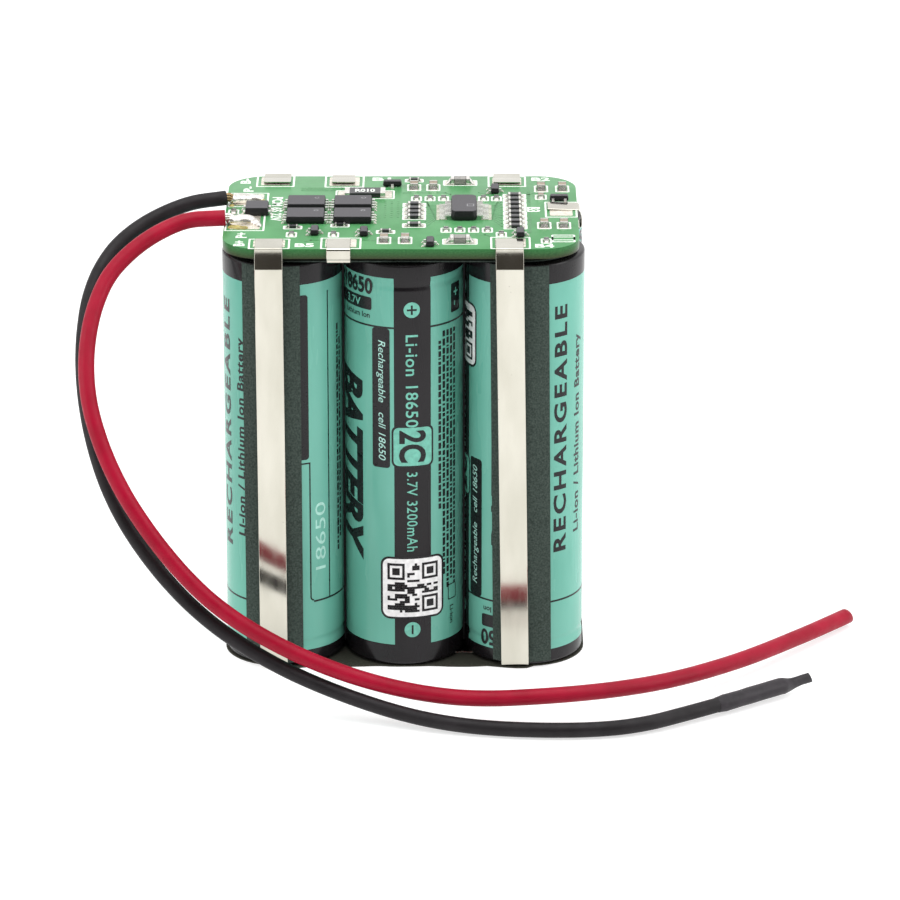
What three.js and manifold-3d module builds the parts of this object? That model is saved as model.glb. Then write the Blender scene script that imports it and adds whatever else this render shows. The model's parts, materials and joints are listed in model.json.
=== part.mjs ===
// A six-cell lithium-ion battery pack: two rows of three round cells joined in series by nickel strips,
// a protection board lying on top, insulating paper between the live parts, and a red and a black lead.
//
// Millimetres, +Z up, +X to the right of the front, front at -Y. The origin is the middle of the footprint,
// on the underside of the base sheet.
//
// The series path starts under rear_left, runs along the rear row, crosses to the front row on the right
// and comes back to front_left:
//   B-  rear_left bottom | B1 rear_left to rear_middle | B2 rear_middle to rear_right
//   B3  rear_right to front_right | B4 front_right to front_middle | B5 front_middle to front_left | B+
import * as THREE from "three";
import { mergeVertices } from "three/addons/utils/BufferGeometryUtils.js";
import Module from "manifold-3d";

// ---- driving dimensions ----
const CELL_PITCH = 18.5;
const CELL_HEIGHT = 65.2; // over the shrink sleeve
const SLEEVE_RADIUS = 9.2;
const FILM = 0.1; // shrink film thickness
const CAN_RADIUS = 9;
const CAN_WALL = 0.3;
const PAPER = 0.2; // adhesive insulating paper
const PAPER_WIDTH = 9.1;
const BASE_SHEET = 0.25;
const BASE_CORNER = 9;
const NICKEL = 0.15;
const LINK_WIDTH = 8; // strips that join two cells
const RISER_WIDTH = 4.2; // strips that climb from the bottom of the pack to the board
const TAB_WIDTH = 3.6; // short tabs from the top strips to the board
const BEND = 0.5; // radius a nickel strip is folded to
const RISER_BOW = 0.75; // how far a riser bows out under the board's edge
const RISER_BOW_DROP = 3.6; // and how far below the board's top it does so
const SKIN_GAP = 0.03; // slack between a wrap and what it covers

const BOARD_SIZE = new THREE.Vector3(54.2, 37.1, 1.6);
const BOARD_CENTRE = new THREE.Vector2(-0.35, -0.65);
const BOARD_CORNER = 6;
const BOARD_CLEARANCE = 1.05; // from the tops of the cells' nickel to the board

const LEAD_RADIUS = 1.15;
const CONDUCTOR_RADIUS = 0.6;
const END_SLEEVE_WALL = 0.25;

const SLEEVE_SEGMENTS = 24;
const CELL_SEGMENTS = 16;
const LEAD_SIDES = 10;
const CONDUCTOR_SIDES = 6;
const LEAD_RINGS = 38;

// ---- heights that follow from them ----
const FOOT_Z = BASE_SHEET; // risers welded under a bottom strip
const LINK_Z = FOOT_Z + NICKEL; // bottom strips
const CELL_BOTTOM = LINK_Z + NICKEL;
const CELL_TOP = CELL_BOTTOM + CELL_HEIGHT;
const TOP_LINK_Z = CELL_TOP;
const TOP_SHEET_Z = TOP_LINK_Z + NICKEL + SKIN_GAP;
const BOARD_BOTTOM = TOP_LINK_Z + NICKEL + BOARD_CLEARANCE;
const BOARD_TOP = BOARD_BOTTOM + BOARD_SIZE.z;
const PAPER_RADIUS = SLEEVE_RADIUS + SKIN_GAP * 2;
const TOP_SHEET_DEPTH = CELL_PITCH * 2 - 2;

const ROW = CELL_PITCH / 2; // rows stand at y = +ROW and y = -ROW
const CELLS = [
  { name: "front_left", x: -CELL_PITCH, y: -ROW, plusUp: false },
  { name: "front_middle", x: 0, y: -ROW, plusUp: true },
  { name: "front_right", x: CELL_PITCH, y: -ROW, plusUp: false },
  { name: "rear_left", x: -CELL_PITCH, y: ROW, plusUp: true },
  { name: "rear_middle", x: 0, y: ROW, plusUp: false },
  { name: "rear_right", x: CELL_PITCH, y: ROW, plusUp: true },
];

// ---- materials ----
const finish = (color, roughness, metalness) =>
  new THREE.MeshStandardMaterial({ color, roughness, metalness });
const steel = () => finish(0xb9babc, 0.35, 1);
const nickel = () => finish(0xebe4d7, 0.18, 1);
const paper = () => finish(0x3c4b44, 0.9, 0);
const tealFilm = () => finish(0x7cbfae, 0.3, 0);
const electrodeRoll = () => finish(0x6b4a35, 0.7, 0.2);
const gasketPlastic = () => finish(0x23384f, 0.6, 0);
const boardLaminate = () => finish(0x5fae74, 0.4, 0);
const mouldedBlack = () => finish(0x3a393c, 0.55, 0);
const solderTin = () => finish(0xd8d8d6, 0.2, 1);
const copper = () => finish(0xb87346, 0.35, 1);
const redSilicone = () => finish(0xb9193a, 0.45, 0);
const blackSilicone = () => finish(0x373436, 0.5, 0);
const ceramicBody = () => finish(0x2b2a2d, 0.5, 0);

// ---- solids: joining and cutting closed meshes ----
const wasm = await Module();
wasm.setup();

function toSolid(geometry) {
  const bare = geometry.clone();
  bare.deleteAttribute("normal");
  bare.deleteAttribute("uv");
  const merged = mergeVertices(bare, 1e-4);
  return new wasm.Manifold(
    new wasm.Mesh({
      numProp: 3,
      vertProperties: merged.attributes.position.array,
      triVerts: new Uint32Array(merged.index.array),
    }),
  );
}

function toGeometry(solid) {
  const mesh = solid.getMesh();
  const geometry = new THREE.BufferGeometry();
  geometry.setAttribute("position", new THREE.BufferAttribute(mesh.vertProperties, 3));
  geometry.setIndex(new THREE.BufferAttribute(mesh.triVerts, 1));
  geometry.computeVertexNormals();
  return geometry;
}

const join = (...geometries) => toGeometry(geometries.map(toSolid).reduce((a, b) => a.add(b)));
const cut = (geometry, tool) => toGeometry(toSolid(geometry).subtract(toSolid(tool)));

// ---- shapes ----
// A body of revolution about z from a profile of [radius, z] pairs.
function turned(profile, segments) {
  const points = profile.map(([r, z]) => new THREE.Vector2(r, z));
  const geometry = new THREE.LatheGeometry(points, segments);
  return geometry.rotateX(Math.PI / 2);
}

// The same for a ring: its profile closes on itself.
const turnedRing = (profile, segments) => turned([...profile, profile[0]], segments);

// A flat plate with rounded corners, its underside at z.
function roundedPlate(width, depth, corner, thickness, z) {
  const [w, d] = [width / 2, depth / 2];
  const outline = new THREE.Shape();
  outline.absarc(w - corner, d - corner, corner, 0, Math.PI / 2);
  outline.absarc(-w + corner, d - corner, corner, Math.PI / 2, Math.PI);
  outline.absarc(-w + corner, -d + corner, corner, Math.PI, Math.PI * 1.5);
  outline.absarc(w - corner, -d + corner, corner, Math.PI * 1.5, Math.PI * 2);
  const options = { depth: thickness, bevelEnabled: false, curveSegments: 6 };
  return new THREE.ExtrudeGeometry(outline, options).translate(0, 0, z);
}

function block(width, depth, height, x, y, z) {
  return new THREE.BoxGeometry(width, depth, height).translate(x, y, z + height / 2);
}

// A folded strip of constant thickness. Corners are [u, z] pairs along the strip's middle; each fold is
// rounded. The strip is `width` wide, centred on u's sideways axis, and u itself runs along x.
function foldedStrip(corners, width, thickness) {
  const points = corners.map(([u, z]) => new THREE.Vector2(u, z));
  const path = new THREE.CurvePath();
  let from = points[0];
  for (let i = 1; i < points.length - 1; i++) {
    const back = points[i - 1].clone().sub(points[i]);
    const ahead = points[i + 1].clone().sub(points[i]);
    const trim = Math.min(BEND, back.length() / 2, ahead.length() / 2);
    const enter = points[i].clone().add(back.setLength(trim));
    const leave = points[i].clone().add(ahead.setLength(trim));
    path.add(new THREE.LineCurve(from, enter));
    path.add(new THREE.QuadraticBezierCurve(enter, points[i], leave));
    from = leave;
  }
  path.add(new THREE.LineCurve(from, points.at(-1)));
  const middle = path.getPoints(3);
  const side = (sign) => middle.map((p, i) => {
    const before = middle[Math.max(i - 1, 0)];
    const after = middle[Math.min(i + 1, middle.length - 1)];
    const along = after.clone().sub(before).normalize();
    return new THREE.Vector2(-along.y, along.x).multiplyScalar((sign * thickness) / 2).add(p);
  });
  const outline = new THREE.Shape([...side(1), ...side(-1).reverse()]);
  const geometry = new THREE.ExtrudeGeometry(outline, { depth: width, bevelEnabled: false });
  return geometry.rotateX(Math.PI / 2).translate(0, width / 2, 0);
}

// Spot-weld dimples that bridge a strip to the cell end it sits on, in two pairs.
function weldDimples(x, y, z) {
  const radius = 0.45;
  const [stepX, stepY] = [1.1, 0.9];
  const overlap = NICKEL / 3;
  const spots = [[-stepX, -stepY], [stepX, -stepY], [-stepX, stepY], [stepX, stepY]];
  return spots.map(([dx, dy]) => {
    const dimple = new THREE.CylinderGeometry(radius, radius, FILM + overlap, 8);
    return dimple.rotateX(Math.PI / 2).translate(x + dx, y + dy, z);
  });
}
const dimpleOffset = (FILM - NICKEL / 3) / 2; // from a strip's face to its dimples' middle

// ---- one cell ----
// Drawn with its button end up and its underside at z = 0, then turned over where it stands the other way.
function cellParts() {
  const top = CELL_HEIGHT;
  const inner = CAN_RADIUS - CAN_WALL;
  const floor = FILM + CAN_WALL;
  const heel = 0.45; // rounding of the can's lower edge
  const groove = top - 3.5; // middle of the bead groove
  const grooveDepth = 0.6;
  const grooveLow = groove - 0.7;
  const grooveHigh = groove + 0.7;
  const crimp = top - 0.25; // highest point of the rolled crimp
  const crimpLip = 7.3;
  const can = turned([
    [0, FILM], [CAN_RADIUS - heel, FILM], [CAN_RADIUS, FILM + heel],
    [CAN_RADIUS, grooveLow], [CAN_RADIUS - grooveDepth, groove], [CAN_RADIUS, grooveHigh],
    [CAN_RADIUS, crimp - 0.35], [CAN_RADIUS - 0.35, crimp],
    [crimpLip, crimp], [crimpLip, crimp - 0.25], [inner, crimp - 0.55],
    [inner, grooveHigh], [inner - grooveDepth, groove], [inner, grooveLow],
    [inner, floor], [0, floor],
  ], CELL_SEGMENTS);
  const mandrel = 1.6; // bore the electrodes are wound round
  const rollRadius = inner - 0.1;
  const rollLow = floor + 0.5;
  const rollHigh = grooveLow - 0.5;
  const winding = turnedRing([
    [mandrel, rollLow], [rollRadius, rollLow], [rollRadius, rollHigh], [mandrel, rollHigh],
  ], CELL_SEGMENTS);
  const flange = top - 2.3; // underside of the cap's flange
  const flangeRadius = 8.25;
  const flangeTop = flange + 0.4;
  const button = 6.2;
  const plate = 0.5; // thickness of the cap's steel
  const cap = turned([
    [0, top - plate - FILM], [button - plate, top - plate - FILM], [button, flange],
    [flangeRadius, flange], [flangeRadius, flangeTop], [button + plate, flangeTop],
    [button, top - FILM], [0, top - FILM],
  ], CELL_SEGMENTS);
  const gasketLip = 7.6;
  const gasketRadius = inner - 0.1;
  const gasketBore = flangeRadius + 0.05;
  const gasketFloor = flange - 0.05;
  const gasketTop = top - 0.9;
  const gasket = turnedRing([
    [gasketLip, gasketFloor - 0.4], [gasketRadius, gasketFloor - 0.4], [gasketRadius, gasketTop],
    [gasketBore, gasketTop], [gasketBore, gasketFloor], [gasketLip, gasketFloor],
  ], CELL_SEGMENTS);
  const filmBore = SLEEVE_RADIUS - FILM;
  const minusOpening = 7.8;
  const plusOpening = 7;
  const sleeve = turnedRing([
    [minusOpening, 0], [SLEEVE_RADIUS, 0], [SLEEVE_RADIUS, top], [plusOpening, top],
    [plusOpening, top - FILM], [filmBore, top - FILM], [filmBore, FILM], [minusOpening, FILM],
  ], SLEEVE_SEGMENTS);
  return [
    ["can", can, steel()],
    ["winding", winding, electrodeRoll()],
    ["gasket", gasket, gasketPlastic()],
    ["cap", cap, steel()],
    ["sleeve", sleeve, tealFilm()],
  ];
}

function cell({ name, x, y, plusUp }) {
  const group = new THREE.Group();
  for (const [part, geometry, material] of cellParts()) {
    const mesh = new THREE.Mesh(geometry, material);
    mesh.name = `${name}_${part}`;
    group.add(mesh);
  }
  group.position.set(x, y, plusUp ? CELL_BOTTOM : CELL_TOP);
  group.rotation.x = plusUp ? 0 : Math.PI;
  return group;
}

// ---- nickel ----
const TAB_REACH = 4.6; // length of nickel soldered down on the board
const FOOT_REACH = 3; // how far a riser's foot runs past the cell's axis
const OVER_BOARD = BOARD_TOP + NICKEL / 2 + SKIN_GAP;
const BOARD_FRONT = BOARD_CENTRE.y - BOARD_SIZE.y / 2;
const BOARD_REAR = BOARD_CENTRE.y + BOARD_SIZE.y / 2;
const BOARD_RIGHT = BOARD_CENTRE.x + BOARD_SIZE.x / 2;
const FOLD_CLEARANCE = 0.2; // from a board edge to the nickel folded round it

// A strip across the ends of two neighbouring cells, with its weld dimples pointing at the cells.
function endLink(a, b, z, dimplesUp) {
  const alongX = Math.abs(a.x - b.x) > 1;
  const length = CELL_PITCH + LINK_WIDTH;
  const middle = [(a.x + b.x) / 2, (a.y + b.y) / 2];
  const plate = alongX
    ? block(length, LINK_WIDTH, NICKEL, ...middle, z)
    : block(LINK_WIDTH, length, NICKEL, ...middle, z);
  const dimpleZ = dimplesUp ? z + NICKEL + dimpleOffset : z - dimpleOffset;
  return [plate, ...weldDimples(a.x, a.y, dimpleZ), ...weldDimples(b.x, b.y, dimpleZ)];
}

// The tabs leave a top strip at distance `start` from the pack's middle and end folded over the board's edge
// on to its pads. They are drawn towards +x and turned afterwards. This one climbs past the insulating sheet
// and follows the board's underside to its edge.
function tuckedTab(start, edge) {
  const level = TOP_LINK_Z + NICKEL / 2;
  const outside = edge + FOLD_CLEARANCE + NICKEL / 2;
  const climb = TOP_SHEET_DEPTH / 2 + 0.25;
  const under = BOARD_BOTTOM - SKIN_GAP - NICKEL / 2;
  return foldedStrip([
    [start, level], [climb, level], [climb, under], [outside, under],
    [outside, OVER_BOARD], [edge - TAB_REACH, OVER_BOARD],
  ], TAB_WIDTH, NICKEL);
}

// This one bulges out by `bulge` as a loose loop beside the board.
function loopedTab(start, edge, bulge) {
  const level = TOP_LINK_Z + NICKEL / 2;
  const outside = edge + FOLD_CLEARANCE + NICKEL / 2;
  const widest = BOARD_BOTTOM + 0.4;
  return foldedStrip([
    [start, level], [outside + bulge, level], [outside + bulge, widest],
    [outside, OVER_BOARD], [edge - TAB_REACH, OVER_BOARD],
  ], TAB_WIDTH, NICKEL);
}

// A strip welded under one cell, folded up the outside of the pack, bowed out a little below the board and
// folded over its edge. It is drawn towards +x; `lean` moves its lower end sideways.
function riser(edge, footZ, lean) {
  const face = ROW + PAPER_RADIUS + PAPER + SKIN_GAP + NICKEL / 2;
  const outside = Math.max(edge + FOLD_CLEARANCE + NICKEL / 2, face);
  const foot = footZ + NICKEL / 2;
  const footStart = ROW - FOOT_REACH;
  const strip = foldedStrip([
    [footStart, foot], [face, foot], [outside + RISER_BOW, BOARD_TOP - RISER_BOW_DROP],
    [outside, OVER_BOARD], [edge - TAB_REACH, OVER_BOARD],
  ], RISER_WIDTH, NICKEL);
  const position = strip.getAttribute("position");
  for (let i = 0; i < position.count; i++) {
    const drop = (BOARD_TOP - position.getZ(i)) / BOARD_TOP;
    position.setY(i, position.getY(i) + lean * Math.max(drop, 0));
  }
  return strip;
}

const [frontLeft, frontMiddle, frontRight, rearLeft, rearMiddle, rearRight] = CELLS;
const turnedTo = (geometry, angle, x, y) => geometry.rotateZ(angle).translate(x, y, 0);
const TO_FRONT = -Math.PI / 2;
const TO_REAR = Math.PI / 2;

function nickelParts() {
  // Tabs B1 and B5 stand over the joint of two cells, and B3 on the board's right edge.
  const rearTabX = -9.55;
  const frontTabX = -9.75;
  const rightTabY = 1.8;
  const rightTabBulge = 1;
  const rearTab = turnedTo(tuckedTab(ROW, BOARD_REAR), TO_REAR, rearTabX, 0);
  const frontTab = turnedTo(tuckedTab(ROW, -BOARD_FRONT), TO_FRONT, frontTabX, 0);
  const rightTab = loopedTab(CELL_PITCH, BOARD_RIGHT, rightTabBulge).translate(0, rightTabY, 0);
  const rearLeftX = -19.9;
  const rearRightX = 16;
  const frontLeftX = -20.3;
  const frontLeftLean = 0.15;
  const frontRightX = 16.1;
  const frontRightLean = 1.1;
  // A riser's foot carries dimples only where it touches a cell itself.
  const footY = ROW - 1;
  const footDimples = (x, y) => weldDimples(x, y, LINK_Z + NICKEL + dimpleOffset);
  return {
    link_b1: join(...endLink(rearLeft, rearMiddle, TOP_LINK_Z, false), rearTab),
    link_b2: join(...endLink(rearMiddle, rearRight, LINK_Z, true)),
    link_b3: join(...endLink(rearRight, frontRight, TOP_LINK_Z, false), rightTab),
    link_b4: join(...endLink(frontRight, frontMiddle, LINK_Z, true)),
    link_b5: join(...endLink(frontMiddle, frontLeft, TOP_LINK_Z, false), frontTab),
    riser_b_minus: join(
      turnedTo(riser(BOARD_REAR, LINK_Z, 0), TO_REAR, rearLeftX, 0),
      ...footDimples(rearLeftX, footY),
    ),
    riser_b2: turnedTo(riser(BOARD_REAR, FOOT_Z, 0), TO_REAR, rearRightX, 0),
    riser_b4: turnedTo(riser(-BOARD_FRONT, FOOT_Z, frontRightLean), TO_FRONT, frontRightX, 0),
    riser_b_plus: join(
      turnedTo(riser(-BOARD_FRONT, LINK_Z, frontLeftLean), TO_FRONT, frontLeftX, 0),
      ...footDimples(frontLeftX, -footY),
    ),
  };
}

// ---- insulation ----
// A strip of adhesive paper that follows the outside of one cell, centred `offset` to the right of the
// cell's own axis.
function paperStrip(at, offset, front) {
  const turn = offset / SLEEVE_RADIUS;
  const middle = front ? turn - Math.PI / 2 : Math.PI / 2 - turn;
  const half = PAPER_WIDTH / 2 / SLEEVE_RADIUS;
  const outline = new THREE.Shape();
  outline.absarc(0, 0, PAPER_RADIUS + PAPER, middle - half, middle + half);
  outline.absarc(0, 0, PAPER_RADIUS, middle + half, middle - half, true);
  const start = CELL_BOTTOM + BEND; // clear of the fold at the riser's foot
  const height = CELL_TOP - PAPER - start;
  const options = { depth: height, bevelEnabled: false, curveSegments: 8 };
  return new THREE.ExtrudeGeometry(outline, options).translate(at.x, at.y, start);
}

function insulationParts() {
  const [width, depth] = [CELL_PITCH * 3, CELL_PITCH * 2];
  return {
    paper_front_left: paperStrip(frontLeft, -1.7, true),
    paper_front_right: paperStrip(frontRight, -0.6, true),
    paper_rear_left: paperStrip(rearLeft, -1.4, false),
    paper_rear_right: paperStrip(rearRight, -1.9, false),
    top_sheet: roundedPlate(width - 2, TOP_SHEET_DEPTH, BASE_CORNER - 0.5, PAPER, TOP_SHEET_Z),
    base_sheet: roundedPlate(width + 0.5, depth - 1.5, BASE_CORNER, BASE_SHEET, 0),
  };
}

// ---- the board and what is soldered to it ----
// A moulded package with a tapered top edge and rows of formed leads on its two x sides.
function leadedPackage({ width, depth, height, reach, leads, pitch, leadWidth }) {
  const taper = 0.3;
  const standoff = 0.1;
  const waist = height * 0.55;
  const outline = new THREE.Shape([
    new THREE.Vector2(-width / 2 + taper, standoff), new THREE.Vector2(width / 2 - taper, standoff),
    new THREE.Vector2(width / 2, waist), new THREE.Vector2(width / 2 - taper, height),
    new THREE.Vector2(-width / 2 + taper, height), new THREE.Vector2(-width / 2, waist),
  ]);
  const body = new THREE.ExtrudeGeometry(outline, { depth, bevelEnabled: false });
  body.rotateX(Math.PI / 2).translate(0, depth / 2, 0);
  const half = 0.1; // half a lead's thickness
  const shoulder = reach * 0.45;
  const root = -taper; // the lead starts inside the moulding
  const lead = new THREE.Shape([
    new THREE.Vector2(root, waist + half), new THREE.Vector2(root, waist - half),
    new THREE.Vector2(shoulder - half, waist - half), new THREE.Vector2(shoulder, SKIN_GAP),
    new THREE.Vector2(reach, SKIN_GAP), new THREE.Vector2(reach, SKIN_GAP + half * 2),
    new THREE.Vector2(shoulder + half, SKIN_GAP + half * 2),
    new THREE.Vector2(shoulder + half, waist + half),
  ]);
  const legs = [];
  for (const turn of [0, Math.PI]) {
    for (let i = 0; i < leads; i++) {
      const y = (i - (leads - 1) / 2) * pitch;
      const leg = new THREE.ExtrudeGeometry(lead, { depth: leadWidth, bevelEnabled: false });
      leg.rotateX(Math.PI / 2).translate(width / 2, leadWidth / 2, 0).rotateZ(turn);
      legs.push(leg.translate(0, y, 0));
    }
  }
  return join(body, ...legs);
}

// A chip component with metal ends that wrap its body.
function endCappedChip(length, depth, height) {
  const cap = length / 9;
  const body = block(length - cap, depth - 0.1, height, 0, 0, SKIN_GAP);
  const ends = [-1, 1].map((side) =>
    block(cap, depth, height - 0.05, side * (length - cap) / 2, 0, SKIN_GAP));
  return join(body, ...ends);
}

// A solder joint: a low mound on the board with the lead's tinned strands running into it.
function solderJoint(width, depth, height, strandLength, strandAngle) {
  const mound = new THREE.SphereGeometry(1, 12, 8).scale(width / 2, depth / 2, height);
  const below = block(width * 2, depth * 2, height * 2, 0, 0, SKIN_GAP - height * 2);
  const strands = new THREE.CylinderGeometry(CONDUCTOR_RADIUS, CONDUCTOR_RADIUS * 1.3, strandLength, 8);
  strands.rotateZ(Math.PI / 2).translate(-strandLength / 2, 0, 0);
  strands.rotateZ(strandAngle).translate(0, 0, LEAD_RADIUS - 0.1);
  return join(cut(mound, below), strands);
}

function boardParts() {
  const { x, y } = BOARD_CENTRE;
  const board = roundedPlate(BOARD_SIZE.x, BOARD_SIZE.y, BOARD_CORNER, BOARD_SIZE.z, BOARD_BOTTOM);
  board.translate(x, y, 0);
  const onBoard = (geometry, atX, atY) => geometry.translate(atX, atY, BOARD_TOP);
  const transistor = () => leadedPackage({
    width: 5.9, depth: 4.9, height: 1.2, reach: 0.6, leads: 4, pitch: 1.27, leadWidth: 0.42,
  });
  const columns = [-15.05, -7.85];
  const rows = [1.9, -4.5];
  return {
    circuit_board: [board, boardLaminate()],
    mosfet_1: [onBoard(transistor(), columns[0], rows[0]), mouldedBlack()],
    mosfet_2: [onBoard(transistor(), columns[1], rows[0]), mouldedBlack()],
    mosfet_3: [onBoard(transistor(), columns[0], rows[1]), mouldedBlack()],
    mosfet_4: [onBoard(transistor(), columns[1], rows[1]), mouldedBlack()],
    control_chip: [onBoard(leadedPackage({
      width: 4, depth: 8.7, height: 1.6, reach: 1.8, leads: 12, pitch: 0.65, leadWidth: 0.28,
    }), 9.25, -1), mouldedBlack()],
    shunt_resistor: [onBoard(endCappedChip(6.3, 3, 0.7), -6.1, 8.1), ceramicBody()],
    clamp_diode: [onBoard(leadedPackage({
      width: 3.6, depth: 4.2, height: 1.35, reach: 0.5, leads: 2, pitch: 2.4, leadWidth: 0.8,
    }), -22.6, -0.9), mouldedBlack()],
    solder_red: [onBoard(solderJoint(4.8, 4.6, 1.5, 3.2, 0.72), -24.8, -5.2), solderTin()],
    solder_black: [onBoard(solderJoint(4, 4, 1.5, 3.2, 0.55), -24.9, 4.6), solderTin()],
  };
}

// ---- leads ----
// Both leave the board's left edge, hang in a loop beside the pack, pass in front of it on the table and
// curl back at the right.
const RED_ROUTE = [
  [-27.9, -7.4, 69.7], [-32.5, -7.7, 69.5], [-38.5, -10.2, 67.5], [-44.5, -14.5, 63], [-47.4, -20, 56.3],
  [-47.5, -26, 47.7], [-44.1, -31, 38], [-38.1, -34.5, 28.5], [-29.1, -36.6, 18.5],
  [-18, -37.4, 11.1], [-5, -39, 6.3], [8.3, -41, 4.5], [22.3, -40.3, 4.5], [37.7, -34, 3.8],
  [50.4, -23.8, 3], [62, -10.8, 2.2], [69.9, -0.8, 1.6],
];
const BLACK_ROUTE = [
  [-28.1, 2.6, 69.7], [-33, 1.6, 69.2], [-38, -0.1, 67.6], [-43.5, -4.1, 64.8], [-47.3, -9.2, 60],
  [-48.8, -15.5, 52.6], [-47.9, -23, 43.5], [-44.6, -28.8, 33.6], [-39.3, -32.4, 25],
  [-31, -35, 16], [-19.7, -36.5, 8.2], [-5, -40.2, 3.1], [7.1, -44, 1.5], [22, -46.1, 1.3],
  [34.2, -44.8, 1.4], [45, -38.9, 1.6], [57.6, -30.2, 1.8],
];

const curveThrough = (route) =>
  new THREE.CatmullRomCurve3(route.map((p) => new THREE.Vector3(...p)), false, "centripetal");

function circle(radius, sides) {
  const turn = (2 * Math.PI) / sides;
  return Array.from({ length: sides }, (_, i) =>
    new THREE.Vector2(Math.cos(i * turn) * radius, Math.sin(i * turn) * radius));
}

function insulation(curve) {
  const section = new THREE.Shape(circle(LEAD_RADIUS, LEAD_SIDES));
  section.holes.push(new THREE.Path(circle(CONDUCTOR_RADIUS + SKIN_GAP, CONDUCTOR_SIDES)));
  return new THREE.ExtrudeGeometry(section, { steps: LEAD_RINGS, extrudePath: curve });
}

function conductor(curve) {
  const section = new THREE.Shape(circle(CONDUCTOR_RADIUS, CONDUCTOR_SIDES));
  return new THREE.ExtrudeGeometry(section, { steps: LEAD_RINGS, extrudePath: curve });
}

// Heat-shrink tube over the end of the black lead: a loose bore as far as the lead's end, then a neck and
// a flat pinched tail. Each ring is [distance past the lead's end, half width, half height].
function endSleeve(lead) {
  const grip = LEAD_RADIUS + 0.15;
  const full = grip + END_SLEEVE_WALL;
  const outer = [[-12.8, full, full], [-8.5, full, full], [-4.2, full, full], [0.5, full, full],
    [1.4, 0.85, 0.75], [2.1, 1, 0.5], [5.6, 0.75, 0.3]];
  const inner = [[0.15, grip, grip], [-4.2, grip, grip], [-8.5, grip, grip], [-12.8, grip, grip]];
  const rings = [...outer, [5.6, 0, 0], [0.15, 0, 0], ...inner];
  const sides = LEAD_SIDES;
  const length = lead.getLength();
  const positions = [];
  for (const [past, halfWidth, halfHeight] of rings) {
    const along = Math.min(1 + past / length, 1);
    const forward = lead.getTangentAt(along);
    const centre = lead.getPointAt(along).addScaledVector(forward, Math.max(past, 0));
    const sideways = new THREE.Vector3(0, 0, 1).cross(forward).normalize();
    const up = forward.clone().cross(sideways);
    for (const spoke of circle(1, sides)) {
      const vertex = centre.clone();
      vertex.addScaledVector(sideways, spoke.x * halfWidth).addScaledVector(up, spoke.y * halfHeight);
      positions.push(vertex.x, vertex.y, vertex.z);
    }
  }
  const index = [];
  for (let ring = 0; ring < rings.length; ring++) {
    const next = (ring + 1) % rings.length;
    for (let i = 0; i < sides; i++) {
      const j = (i + 1) % sides;
      const [a, b, c, d] = [ring * sides + i, ring * sides + j, next * sides + j, next * sides + i];
      index.push(a, b, c, a, c, d);
    }
  }
  const geometry = new THREE.BufferGeometry();
  geometry.setAttribute("position", new THREE.Float32BufferAttribute(positions, 3));
  geometry.setIndex(index);
  const merged = mergeVertices(geometry, 1e-4);
  const kept = [];
  for (let i = 0; i < merged.index.count; i += 3) {
    const corners = [0, 1, 2].map((k) => merged.index.getX(i + k));
    if (new Set(corners).size === 3) kept.push(...corners);
  }
  merged.setIndex(kept);
  merged.computeVertexNormals();
  return merged;
}

function leadParts() {
  const red = curveThrough(RED_ROUTE);
  const black = curveThrough(BLACK_ROUTE);
  return {
    red_insulation: [insulation(red), redSilicone()],
    red_conductor: [conductor(red), copper()],
    black_insulation: [insulation(black), blackSilicone()],
    black_conductor: [conductor(black), copper()],
    black_end_sleeve: [endSleeve(black), blackSilicone()],
  };
}

// ---- assembly ----
const group = new THREE.Group();
group.add(...CELLS.map(cell));

function place(name, geometry, material) {
  const mesh = new THREE.Mesh(geometry, material);
  mesh.name = name;
  group.add(mesh);
}

for (const [name, geometry] of Object.entries(nickelParts())) place(name, geometry, nickel());
for (const [name, geometry] of Object.entries(insulationParts())) place(name, geometry, paper());
for (const [name, [geometry, material]] of Object.entries(boardParts())) place(name, geometry, material);
for (const [name, [geometry, material]] of Object.entries(leadParts())) place(name, geometry, material);

export default group;
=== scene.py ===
"""Looks of a six-cell lithium-ion battery pack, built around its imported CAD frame.

Sizes below are in millimetres; a piece's mesh is scaled to metres when it is made. Places come from the
frame: the cells from their sleeves, the larger board parts from their nodes, the leads from their
conductors. The board's small parts and the labels' artwork have listed places of their own.
"""

import bisect
import json
import math
import random

import bmesh
import bpy
from mathutils import Matrix, Vector, noise

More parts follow.
